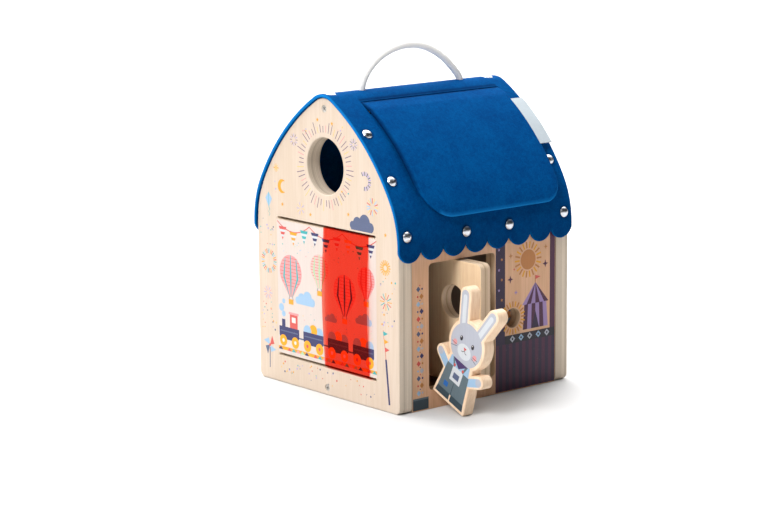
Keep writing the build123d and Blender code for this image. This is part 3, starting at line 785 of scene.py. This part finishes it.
def makeRope(s):
    points, length = evenly(routePoints(s), s["ringStep"])

    def radiusAt(angle, along):
        one = abs(math.sin(s["lobes"] * angle + s["twist"] * along)) ** 0.6
        two = abs(math.sin(s["lobes"] * angle - s["twist"] * along)) ** 0.6
        return s["radius"] * (1 + s["depth"] * (one + two - 1.2))

    piece = finishMesh("ropeHandle", tube(points, radiusAt, s["around"]), [whiteRope], "root", 80)
    return piece, points, length


ropeHandle, ropeLine, ropeLength = makeRope(ropeSettings)
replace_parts(ropeHandle, "rope_handle")
print("rope length", round(ropeLength, 4))

# A knot at each end of the rope, under the beam
knotSettings = {
    "place": 0.056, "top": 0.235788, "height": 0.010, "wide": 0.0014, "tall": 0.0021,
    "rope": 0.0021, "steps": 96,
}


def makeKnots(s):
    whole = bmesh.new()
    for side in (-1, 1):
        line = []
        for step in range(s["steps"]):
            t = 2 * math.pi * step / s["steps"]
            reach = 2 + math.cos(3 * t)
            x, y = s["wide"] * reach * math.cos(2 * t), s["wide"] * reach * math.sin(2 * t)
            z = s["top"] - s["height"] / 2 + s["tall"] * math.sin(3 * t)
            line.append(Vector((side * s["place"] + x, y, z)))
        loop = newObject("knot", tube(line, lambda angle, along: s["rope"], 16, closed=True))
        whole.from_mesh(loop.data)
        bpy.data.objects.remove(loop)
    return finishMesh("ropeKnots", whole, [whiteRope], "root", 80)


ropeKnots = makeKnots(knotSettings)
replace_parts(ropeKnots, "rope_knots")
print("rope and knots made")

# Countersunk screws with a cross recess
screwSettings = {
    "face": 95.0, "sink": 0.3, "head": 3.1, "shank": 1.6, "core": 1.25, "length": 32.0, "pitch": 0.9,
    "recess": 1.5, "slot": 0.75, "reach": 2.0, "heights": (6.25, 242.388),
}
screwSteel = metal("screwSteel", tint(196, 192, 186), 0.34, 0.6)


def makeScrews(name, side, s):
    whole = bmesh.new()
    profile = [(s["head"] - 0.35, 0), (s["head"], 0.12), (s["shank"] + 0.1, 1.5)]
    depth = 3.0
    while depth < s["length"] - s["sink"] - 3:
        profile += [(s["core"], depth), (s["shank"], depth + s["pitch"] / 2)]
        depth += s["pitch"]
    profile += [(s["core"], s["length"] - s["sink"] - 2.5), (0, s["length"] - s["sink"])]
    recess, half = [], s["slot"] / 2
    for quarter in range(4):
        right, ahead = math.cos(math.pi / 2 * quarter), math.sin(math.pi / 2 * quarter)
        for a, b in ((half, half), (half, s["reach"]), (-half, s["reach"])):
            recess.append((a * right - b * ahead, a * ahead + b * right))
    angles = [2 * math.pi * step / 32 for step in range(32)]
    for number, height in enumerate(s["heights"]):

        def ring(points, inwards, turn):
            x = side * (s["face"] - s["sink"] - inwards)
            right, up = math.cos(turn), math.sin(turn)
            return [(x, a * right - b * up, height + a * up + b * right) for a, b in points]

        rings = []
        for radius, inwards in profile:
            circle = [(math.cos(angle) * radius, math.sin(angle) * radius) for angle in angles]
            rings.append(ring(circle, inwards, 0))
        shaft = ringMesh(rings)
        bmesh.ops.remove_doubles(shaft, verts=shaft.verts[:], dist=0.001 * mm)  # the last ring is a point
        screw = newObject("screw", shaft)
        turn = math.radians(24 + 31 * number + 17 * side)
        layers = [ring([(a * share, b * share) for a, b in recess], inwards, turn)
                  for inwards, share in ((-0.6, 1.06), (s["recess"], 0.62))]
        cutOut(screw, newObject("cross", ringMesh(layers)))
        whole.from_mesh(screw.data)
        bpy.data.objects.remove(screw)
    return finishMesh(name, whole, [screwSteel], "root", 30)


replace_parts(makeScrews("nearScrews", -1, screwSettings), "near_gable_screws")
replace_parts(makeScrews("farScrews", 1, screwSettings), "far_gable_screws")
print("screws made")

# Printing inks, each a little worn so that the wood's grain shows in it
inkColours = {
    "white": (226, 216, 210), "panel": (209, 196, 188), "coral": (203, 84, 78), "rose": (216, 150, 150),
    "blush": (219, 176, 170), "ochre": (220, 156, 42), "sand": (226, 190, 120), "yellow": (231, 161, 24),
    "teal": (56, 164, 166), "mint": (162, 203, 159), "sky": (151, 182, 210), "blue": (34, 96, 168),
    "navy": (54, 54, 98), "slate": (86, 96, 126), "lilac": (168, 156, 204), "mauve": (122, 100, 120),
    "dark": (39, 34, 44), "plum": (72, 52, 100), "maroon": (76, 36, 64), "night": (50, 34, 62),
    "amber": (186, 122, 68), "violet": (155, 130, 180), "cloud": (176, 179, 190), "paper": (204, 208, 212),
    "stone": (92, 108, 116), "moss": (50, 66, 76),
}
inkFinishes = {}


def ink(name):
    if name not in inkFinishes:
        finish = Finish("ink" + name.capitalize())
        grain = finish.noise(1.0, 3.0, (700.0, 700.0, 26.0))
        worn = finish.between(finish.noise(900.0, 2.0), 0.66, 0.8)
        colour = tint(*inkColours[name])
        soft = tuple(value * 0.86 for value in colour[:3]) + (1,)
        base = finish.mix(grain, soft, colour)
        base = finish.mix(worn * 0.16, base, tint(220, 196, 168))
        values = {"Base Color": base, "Roughness": 0.42 + 0.2 * grain, "Specular IOR Level": 0.35}
        values["Normal"] = finish.bump(grain, 0.12, 0.0002)
        inkFinishes[name] = finish.surface(finish.principled(values))
    return inkFinishes[name]


# A point at a distance from another, in a direction in degrees
def polar(x, y, distance, degrees):
    angle = math.radians(degrees)
    return x + distance * math.cos(angle), y + distance * math.sin(angle)


# Flat printed shapes on one face of a piece, in millimetres on that face
class Printed:
    def __init__(self, name, place, body, slotName):
        self.name, self.place, self.body, self.slotName = name, place, body, slotName
        self.mesh = bmesh.new()
        self.scrap = bpy.data.meshes.new("scrap")
        self.inks = []
        self.count = 0

    # each shape is a little higher than the one before, so that no two tops share a plane
    def poly(self, colour, points, level=1):
        if colour not in self.inks:
            self.inks.append(colour)
        self.count += 1
        top = 0.03 + 0.014 * level + 0.0012 * (self.count % 11)
        shape = ringMesh([[self.place(x, y, height) for x, y in points] for height in (-0.02, top)])
        for face in shape.faces:
            face.material_index = self.inks.index(colour)
        shape.to_mesh(self.scrap)
        shape.free()
        self.mesh.from_mesh(self.scrap)

    def box(self, colour, x, y, width, height, level=1):
        self.poly(colour, [(x, y), (x + width, y), (x + width, y + height), (x, y + height)], level)

    def disc(self, colour, x, y, radius, level=1, tall=1.0):
        points = []
        count = max(8, round(max(10, radius * 5)))
        for step in range(count):
            angle = 2 * math.pi * step / count
            points.append((x + radius * math.cos(angle), y + radius * tall * math.sin(angle)))
        self.poly(colour, points, level)

    def string(self, colour, points, width, level=1):
        left, right = [], []
        for i, (x, y) in enumerate(points):
            before, after = points[max(i - 1, 0)], points[min(i + 1, len(points) - 1)]
            along = Vector((after[0] - before[0], after[1] - before[1])).normalized()
            left.append((x - along.y * width / 2, y + along.x * width / 2))
            right.append((x + along.y * width / 2, y - along.x * width / 2))
        self.poly(colour, left + right[::-1], level)

    # an upright shape with level ends, each with its own half width
    def band(self, colour, a, b, wide, thin, level=1):
        far = [(b[0] + thin, b[1]), (b[0] - thin, b[1])]
        self.poly(colour, [(a[0] - wide, a[1]), (a[0] + wide, a[1]), *far], level)

    def bar(self, colour, a, b, width, level=1):
        self.string(colour, [a, b], width, level)

    def burst(self, colours, x, y, inner, outer, rays, width, level=1, start=0, sweep=360, jitter=0.0):
        chance = random.Random(round(x * 7 + y * 13 + rays))
        for ray in range(rays):
            angle = start + sweep * ray / rays
            reach = outer - jitter * chance.random()
            ends = polar(x, y, inner, angle), polar(x, y, reach, angle)
            self.bar(colours[ray % len(colours)], *ends, width, level)

    def star(self, colour, x, y, radius, points=5, inner=0.45, level=1, start=90):
        corners = []
        for step in range(points * 2):
            reach = radius * (inner if step % 2 else 1)
            corners.append(polar(x, y, reach, start + 180 * step / points))
        self.poly(colour, corners, level)

    def slot(self, colour, x, y, length, width, angle, level=1):
        points = []
        straight = (length - width) / 2
        for end in (1, -1):
            for step in range(9):
                turn = math.radians((-90 if end > 0 else 90) + 180 * step / 8)
                points.append((end * straight + width / 2 * math.cos(turn), width / 2 * math.sin(turn)))
        right, up = math.cos(math.radians(angle)), math.sin(math.radians(angle))
        self.poly(colour, [(x + a * right - b * up, y + a * up + b * right) for a, b in points], level)

    def confetti(self, colours, regions, seed, size=(0.45, 0.95)):
        chance = random.Random(seed)
        for x0, y0, x1, y1, count in regions:
            for number in range(count):
                x, y = chance.uniform(x0, x1), chance.uniform(y0, y1)
                colour = colours[chance.randrange(len(colours))]
                radius = chance.uniform(*size)
                if number % 4 == 0:
                    self.star(colour, x, y, radius * 1.4, 4, 0.4)
                else:
                    self.disc(colour, x, y, radius)

    def build(self):
        bpy.data.meshes.remove(self.scrap)
        inks = [ink(name) for name in self.inks]
        return finishMesh(self.name, self.mesh, inks, self.body, 30)


# The print on the near gable: x runs along the house's width, y is the height
def gablePrint():
    art = Printed("gablePrint", lambda x, y, out: (-95 - out, x, y), "root", "ply")
    rays = ["mauve", "mauve", "rose", "mauve", "mauve", "sand"]
    art.burst(rays, 0, 194.5, 28.2, 38.5, 54, 0.72, jitter=5.0)
    art.box("panel", -65, 26.2, 131, 115.4, 0)
    # bunting in three swags under the upper slot
    flags = ["coral", "ochre", "teal", "navy", "blue"]
    for swag in range(3):
        points = []
        for step in range(25):
            share = step / 24
            points.append((65.5 - 43.7 * (swag + share), 140.6 - 30 * share * (1 - share)))
        art.string("coral", points, 0.8, 3)
        for number, step in enumerate((4, 12, 20)):
            x, y = points[step]
            colour = flags[(swag * 3 + number) % 5]
            art.poly("paper", [(x - 5.2, y), (x + 5.2, y), (x, y - 11.5)], 3)
            for low, high in ((0.0, 0.22), (0.4, 0.6), (0.76, 0.98)):
                ends = (x, y - 11.5 * low), (x, y - 11.5 * high)
                art.band(colour, *ends, 5.2 * (1 - low), 5.2 * (1 - high), 4)
    # hot-air balloons at different heights
    for x, y, radius, colour, gore in ((48, 98, 15, "rose", "teal"), (9, 107, 12, "blush", "mint"),
                                       (-24, 92, 14.5, "rose", "navy"), (-52, 106, 11, "rose", "coral")):
        art.disc(colour, x, y, radius, 1)
        foot = y - radius * 1.42
        art.band(colour, (x, y - radius * 0.44), (x, foot), radius * 0.9, 2.4, 1)
        for row in range(-4, 5):
            reach = math.sqrt(1 - (row / 5) ** 2) * radius
            art.box("coral", x - reach * 0.96, y + row * radius / 5, reach * 1.92, 0.4, 2)
        for share in (-0.62, 0, 0.62):
            top = radius * math.sqrt(1 - share**2) * 0.99
            places = [(x + share * radius * 0.8, y + top, 0.5), (x + share * radius, y - radius * 0.3, 1.1),
                      (x + share * 3, foot, 0.3)]
            rest = [(a + half, b) for a, b, half in places[::-1]]
            art.poly(gore, [(a - half, b) for a, b, half in places] + rest, 3)
        art.box("ochre", x - 3.2, foot - 6.4, 6.4, 4.4, 3)
        for way in (-1, 1):
            art.bar("navy", (x + way * 2.2, foot), (x + way * 2.8, foot - 2.4), 0.5, 4)
    # a train of wagons on a track, with balls for wheels
    art.box("ochre", -65, 29.0, 131, 3.0, 2)
    zigzag = ["teal", "coral", "yellow", "navy", "mint", "rose"]
    for number in range(22):
        x, wide = -65 + number * 131 / 22, 131 / 22
        art.poly(zigzag[number % 6], [(x, 29.0), (x + wide, 29.0), (x + wide / 2, 32.0)], 3)
    for number, left in enumerate((37.5, 4.5, -28.5, -61.5)):
        art.poly("navy", [(left, 42.0), (left + 2.2, 38.6), (left + 25.0, 38.6), (left + 27.2, 42.0),
                          (left + 27.2, 49.6), (left, 49.6)], 3)
        art.box("slate", left + 1.5, 45.2, 24.2, 1.0, 4)
        if number < 3:
            art.box("slate", left - 5.8, 41.6, 5.8, 1.3, 2)
        for wheel in (5.4, 21.8):
            art.disc("yellow", left + wheel, 37.4, 5.0, 5)
            art.disc("coral" if number % 2 else "white", left + wheel, 37.4, 1.6, 6)
        if number:
            for place, colour in ((5.6, "sky"), (13.6, "yellow"), (21.6, "sky")):
                art.disc(colour, left + place, 50.6 + (place == 13.6) * 1.5, 5.2, 2)
    art.box("coral", 39.5, 49.6, 10.5, 12.0, 3)
    art.box("white", 42.2, 54.6, 5.2, 4.6, 4)
    art.box("rose", 37.9, 61.4, 13.6, 2.0, 4)
    art.box("navy", 56.4, 49.6, 4.6, 6.4, 3)
    for x, y, radius in ((58.5, 60.8, 2.6), (61.4, 66.0, 3.4), (58.2, 71.8, 2.2)):
        art.disc("sky", x, y, radius, 2)
    # clouds
    for x, y, size, colour in ((28, 76, 1.0, "sky"), (-49, 71, 0.8, "sky"), (-48, 150.4, 1.15, "slate"),
                               (-6, 66, 0.6, "sky")):
        for way, rise, radius in ((-9, 0, 3.6), (-2.5, 3.0, 5.8), (5.5, 1.4, 4.8), (11, -0.4, 3.0)):
            art.disc(colour, x + way * size, y + rise * size, radius * size, 2)
        art.box(colour, x - 10.5 * size, y - 3.6 * size, 23 * size, 4.2 * size, 2)
    # rings, bursts, a crescent and a kite
    for colours, x, y, inner, outer, rays, width, start, sweep in (
        (["sky", "ochre", "coral", "teal"], 78, 104, 6.6, 10.6, 30, 0.8, 0, 360),
        (["ochre", "coral", "teal"], -77, 92, 2.0, 7.4, 12, 0.75, 0, 360),
        (["ochre", "yellow"], -76.5, 120, 2.2, 6.6, 16, 0.9, 0, 360),
        (["lilac", "rose"], 80, 76, 2.0, 6.0, 12, 0.6, 0, 360),
        (["lilac", "slate"], -37.5, 216.5, 1.6, 5.0, 12, 0.55, 0, 360),
        (["slate", "lilac"], -51.5, 188, 4.6, 8.0, 15, 0.9, 60, 230),
        (["sky", "coral", "sand"], -61, 168, 3.0, 7.4, 16, 0.8, 0, 360),
        (["mauve", "lilac"], 41, 212.5, 2.4, 5.2, 12, 0.6, 0, 360),
        (["lilac", "sand"], 33, 155, 1.8, 5.4, 10, 0.6, 0, 360),
        (["ochre", "sand"], 66, 186, 0.5, 3.6, 8, 0.8, 0, 360),
    ):
        art.burst(colours, x, y, inner, outer, rays, width, 1, start, sweep)
    for x, y in ((9, 232.5), (-10, 231), (-30, 158), (58, 155.5), (20, 151.5), (-77, 147)):
        art.star("ochre", x, y, 1.9, 5, 0.45, 2)
    crescent = []
    for middle, radius, start, end in ((58.0, 6.0, -125, 125), (55.4, 4.5, 100, -100)):
        crescent += [polar(middle, 171, radius, start + (end - start) * step / 16) for step in range(17)]
    art.poly("ochre", crescent, 2)
    art.poly("sky", [(77, 164), (81.5, 158.5), (77, 151), (72.5, 158.5)], 2)
    art.bar("teal", (77, 164), (77, 151), 0.5, 3)
    art.string("teal", [(77, 151), (75.5, 149), (77.5, 147), (75.5, 145), (77, 143.5)], 0.5, 2)
    # a pole with pennants, and a pinwheel
    art.bar("navy", (-80.6, 6.5), (-76.6, 44), 2.1, 2)
    art.string("coral", [(-76.6, 44), (-75.6, 52), (-74.4, 60), (-73.2, 68)], 0.5, 2)
    for number, colour in enumerate(("coral", "ochre", "teal")):
        x, y = -75.8 + number * 1.0, 50 + number * 6.6
        art.poly(colour, [(x, y), (x + 0.6, y + 4), (x - 5.4, y + 2.6)], 3)
    for quarter, colour in enumerate(("sky", "coral", "sky", "slate")):
        tips = polar(78.5, 30, 9, 90 * quarter + 20), polar(78.5, 30, 6.4, 90 * quarter + 75)
        art.poly(colour, [(78.5, 30), *tips], 2)
    art.bar("slate", (78.5, 28), (78.8, 10), 1.0, 1)
    art.disc("coral", 78.5, 30, 1.3, 4)
    bright = ["ochre", "teal", "coral", "lilac", "slate", "sand"]
    art.confetti(bright, [(69, 44, 89, 68, 22), (70, 118, 89, 140, 14), (-62, 8, 64, 21, 44)], 4)
    art.confetti(bright, [(-89, 70, -68, 84, 10), (-89, 100, -69, 112, 8), (-36, 168, -22, 176, 3)], 9)
    soft = ["rose", "mint", "sky", "sand", "teal"]
    art.confetti(soft, [(-62, 114, 64, 128, 50), (-62, 56, 34, 70, 26)], 5, (0.3, 0.6))
    pale = ["sand", "lilac", "rose"]
    art.confetti(pale, [(-26, 226, -16, 232, 4), (24, 218, 32, 224, 4), (66, 150, 70, 176, 5)], 7)
    return art.build()


gableArt = gablePrint()
print("gable print made")


# The print on the wall with the doorway: x runs along the house, y is the height
def wallPrint():
    art = Printed("wallPrint", lambda x, y, out: (x, -92.4 - out, y), "root", "ply")
    art.box("night", 11.8, 0.8, 10.7, 131, 1)
    art.box("maroon", 74.4, 0.8, 5.8, 131, 1)
    for number in range(9):
        x = 11.8 + number * 7.6
        art.box("maroon", x, 0.8, 3.9, 40.4, 3)
        art.box("night", x + 3.9, 0.8, 3.7, 40.4, 3)
    art.box("dark", 22.5, 41.0, 57.7, 7.2, 4)
    for number in range(5):
        x = 28.0 + number * 10.0
        diamond = [(x, 44.6), (x + 3.0, 47.6), (x + 6, 44.6), (x + 3, 41.6)]
        art.poly("sky" if number % 2 else "cloud", diamond, 5)
        art.disc("dark", x + 3, 44.6, 1.0, 6)
    # rays round the finger hole
    art.burst(["amber", "ochre"], 31.4, 62.7, 9.6, 14.2, 24, 1.35, 5)
    # a striped tent under a sun
    middle, foot, waist, top = 57.5, 50.6, 72.0, 90.0
    for number in range(6):
        place, half = 29 * (number - 2.5) / 6, 29 / 12
        stripes = ("violet", "maroon") if number % 2 else ("maroon", "violet")
        art.band(stripes[0], (middle + place, foot), (middle + place * 0.88, waist), half, half * 0.88, 3)
        roof = [(middle + (place + way * half) * 1.06, waist) for way in (-1, 1)]
        art.poly(stripes[1], [*roof, (middle, top)], 4)
    art.poly("night", [(middle - 4.4, foot), (middle + 4.4, foot), (middle, foot + 15)], 5)
    art.bar("amber", (middle, top - 0.5), (middle, top + 6), 0.7, 4)
    art.poly("coral", [(middle, top + 6), (middle, top + 2.4), (middle + 6, top + 4.2)], 4)
    art.disc("amber", 49.0, 110.5, 8.6, 3)
    art.burst(["amber", "ochre"], 49.0, 110.5, 9.8, 15.4, 22, 1.5, 3)
    for x, y, radius, colour in (
        (28.5, 96, 3.4, "maroon"), (69.0, 104.5, 3.4, "maroon"), (29.0, 116, 2.4, "amber"),
        (35.0, 84, 2.2, "violet"), (69.5, 119, 2.2, "amber"), (33.0, 104, 1.4, "coral"),
    ):
        art.star(colour, x, y, radius, 4, 0.36, 3)
    for number in range(9):
        x = 17.2 + (1.6 if number % 2 else -1.6)
        art.star("amber" if number % 2 else "violet", x, 54 + number * 8.6, 1.5, 5, 0.45, 3)
    # a border of diamonds and dots at the other side of the doorway
    art.box("moss", -79.8, 0.8, 16.8, 8.4, 2)
    art.box("stone", -79.8, 9.2, 16.8, 1.6, 2)
    colours = ["sky", "amber", "slate", "cloud", "coral", "navy"]
    for number in range(15):
        y, way = 15 + number * 6.2, 1 if number % 2 else -1
        x = -71.9 + way * 1.7
        art.poly(colours[number % 6], [(x, y - 2.4), (x + 2.2, y), (x, y + 2.4), (x - 2.2, y)], 2)
        art.disc(colours[(number + 3) % 6], -71.9 - way * 2.4, y, 0.9, 2)
        art.disc(colours[(number + 2) % 6], -71.9, y + 3.1, 0.6, 2)
    return art.build()


wallArt = wallPrint()


# The print on the disc behind the finger hole, in sectors round its axle
def discPrint():
    art = Printed("discPrint", lambda x, y, out: (x, -80.5 - out, y), "disc", "ply")
    centreX, centreY = 45.4, 62.7
    sectors = ["amber", "sky", "coral", "violet", "ochre", "mint", "rose", "slate"]
    for number, colour in enumerate(sectors):
        points = []
        for radius, sweep in ((26.0, range(0, 46, 5)), (6.4, range(45, -1, -9))):
            points += [polar(centreX, centreY, radius, 157.5 + number * 45 + turn) for turn in sweep]
        art.poly(colour, points, 1)
        art.star("white", *polar(centreX, centreY, 14, 180 + number * 45), 3.6, 5, 0.45, 2)
    return art.build()


discArt = discPrint()

# The print on the figure: a rabbit in overalls, on the figure's own leaning face
figureSettings = {"base": (-58.8, -110.79, 7.85), "tilt": 24.0}


def figurePrint(s):
    tilt = math.radians(s["tilt"])
    x, y, z = s["base"]

    def onFigure(u, v, out):
        across, up = u * math.cos(tilt) - v * math.sin(tilt), u * math.sin(tilt) + v * math.cos(tilt)
        return x - out, y + across, z + up

    art = Printed("figurePrint", onFigure, "figure", "figure")
    for way in (-1, 1):
        lean = 90 - way * 18
        art.slot("cloud", way * 13, 81, 37.5, 8.6, lean, 1)
        art.slot("paper", way * 13.4, 82.4, 27, 4.4, lean, 2)
        art.slot("sky", way * 19, 33, 19.6, 7.0, 90 - way * 58, 1)
        art.disc("cloud", way * 24.6, 36.6, 3.4, 2)
        art.poly("moss", [(way * 0.8, 2.8), (way * 17.6, 2.8), (way * 16.4, 8.6), (way * 0.8, 8.6)], 3)
    art.poly("stone", [(-16.4, 8.2), (16.4, 8.2), (13.6, 33), (-13.6, 33)], 2)
    art.bar("moss", (0, 8.2), (0, 19.5), 0.7, 3)
    art.poly("sky", [(-12.8, 33), (12.8, 33), (11.6, 41.5), (-11.6, 41.5)], 2)
    art.box("paper", -6.4, 20.5, 12.8, 12.8, 3)
    art.box("slate", -3.6, 23.5, 7.2, 5.2, 4)
    art.disc("coral", -5.2, 34.8, 1.3, 4)
    art.disc("coral", 5.2, 34.8, 1.3, 4)
    art.bar("stone", (-5.2, 33), (-8.6, 41.5), 2.0, 3)
    art.bar("stone", (5.2, 33), (8.6, 41.5), 2.0, 3)
    art.box("blue", 5.8, 12, 5.0, 4.6, 3)
    art.disc("cloud", 0, 57, 18.6, 3)
    art.poly("plum", [(-9, 40.8), (9, 40.8), (0, 33.8)], 5)
    art.disc("paper", 0, 50.6, 8.2, 4, 0.8)
    for way in (-1, 1):
        art.disc("dark", way * 7.2, 59.8, 1.7, 5, 1.35)
        art.disc("white", way * 7.2 + 0.5, 60.7, 0.5, 6)
        art.disc("rose", way * 12.6, 52.8, 2.5, 5)
        art.string("dark", [(0, 51.8), (way * 1.4, 49.9), (way * 3.4, 49.8)], 0.5, 6)
        art.bar("dark", (way * 9.4, 50.6), (way * 16.0, 48.6), 0.35, 6)
        art.bar("dark", (way * 9.4, 52.0), (way * 16.4, 52.0), 0.35, 6)
    art.poly("coral", [(-2.0, 54.2), (2.0, 54.2), (0, 51.6)], 6)
    # from here on x and y aren't the base's, so these dots and the brow lie in the house's hollow
    for x, y, colour in ((-2.4, 37.8, "amber"), (2.6, 38.6, "coral"), (0, 36.2, "amber")):
        art.disc(colour, x, y, 0.7, 6)
    art.slot("plum", 0, 73.2, 9.0, 2.0, 0, 5)
    return art.build()


figureArt = figurePrint(figureSettings)
print("prints made")

# A pale floor, a soft sun from the left, and a room that is bright above and behind only
studioSettings = {
    "floor": tint(203, 203, 203), "floorSize": 40.0, "floorHeight": -0.0002,
    "sunLevel": 2.95, "sunAngle": 26.0, "sunHeight": 42.0, "sunTurn": 10.0,
    "sky": (0.277, 0.606, 0.746), "skyEdge": (0.5, 0.87), "dim": 0.015, "bright": 5.0,
}


def makeStudio(s):
    scene = bpy.context.scene
    scene.view_settings.view_transform = "Standard"
    mesh = bmesh.new()
    bmesh.ops.create_circle(mesh, cap_ends=True, segments=64, radius=s["floorSize"])
    floor = newObject("floor", mesh)
    floor.location.z = s["floorHeight"]
    finish = Finish("paleFloor")
    haze = finish.noise(3.0, 2.0)
    colour = finish.mix(haze, s["floor"], tint(205, 205, 205))
    values = {"Base Color": colour, "Roughness": 0.9, "Specular IOR Level": 0.1}
    floor.data.materials.append(finish.surface(finish.principled(values)))
    sun = bpy.data.objects.new("sun", bpy.data.lights.new("sun", "SUN"))
    sun.data.energy = s["sunLevel"]
    sun.data.angle = math.radians(s["sunAngle"])
    height, turn = math.radians(s["sunHeight"]), math.radians(s["sunTurn"])
    shine = Vector((math.cos(height) * math.cos(turn), math.cos(height) * math.sin(turn), -math.sin(height)))
    sun.rotation_euler = shine.to_track_quat("-Z", "Y").to_euler()
    scene.collection.objects.link(sun)
    room = Finish("room", bpy.data.worlds.new("room"))
    way = room.node("ShaderNodeSeparateXYZ", {}, {0: room.node("ShaderNodeTexCoord", out="Generated")})
    towards = way["X"] * s["sky"][0] + way["Y"] * s["sky"][1] + way["Z"] * s["sky"][2]
    share = room.between(towards, *s["skyEdge"])
    grey = room.mix(share, (*[s["dim"]] * 3, 1), (*[s["bright"]] * 3, 1))
    # the camera itself sees a white backdrop
    grey = room.mix(room.node("ShaderNodeLightPath", out="Is Camera Ray"), grey, (1, 1, 1, 1))
    glow = room.node("ShaderNodeBackground", {}, {"Color": grey})
    room.node("ShaderNodeOutputWorld", {}, {"Surface": glow})
    scene.world = room.material


makeStudio(studioSettings)
print("studio made")
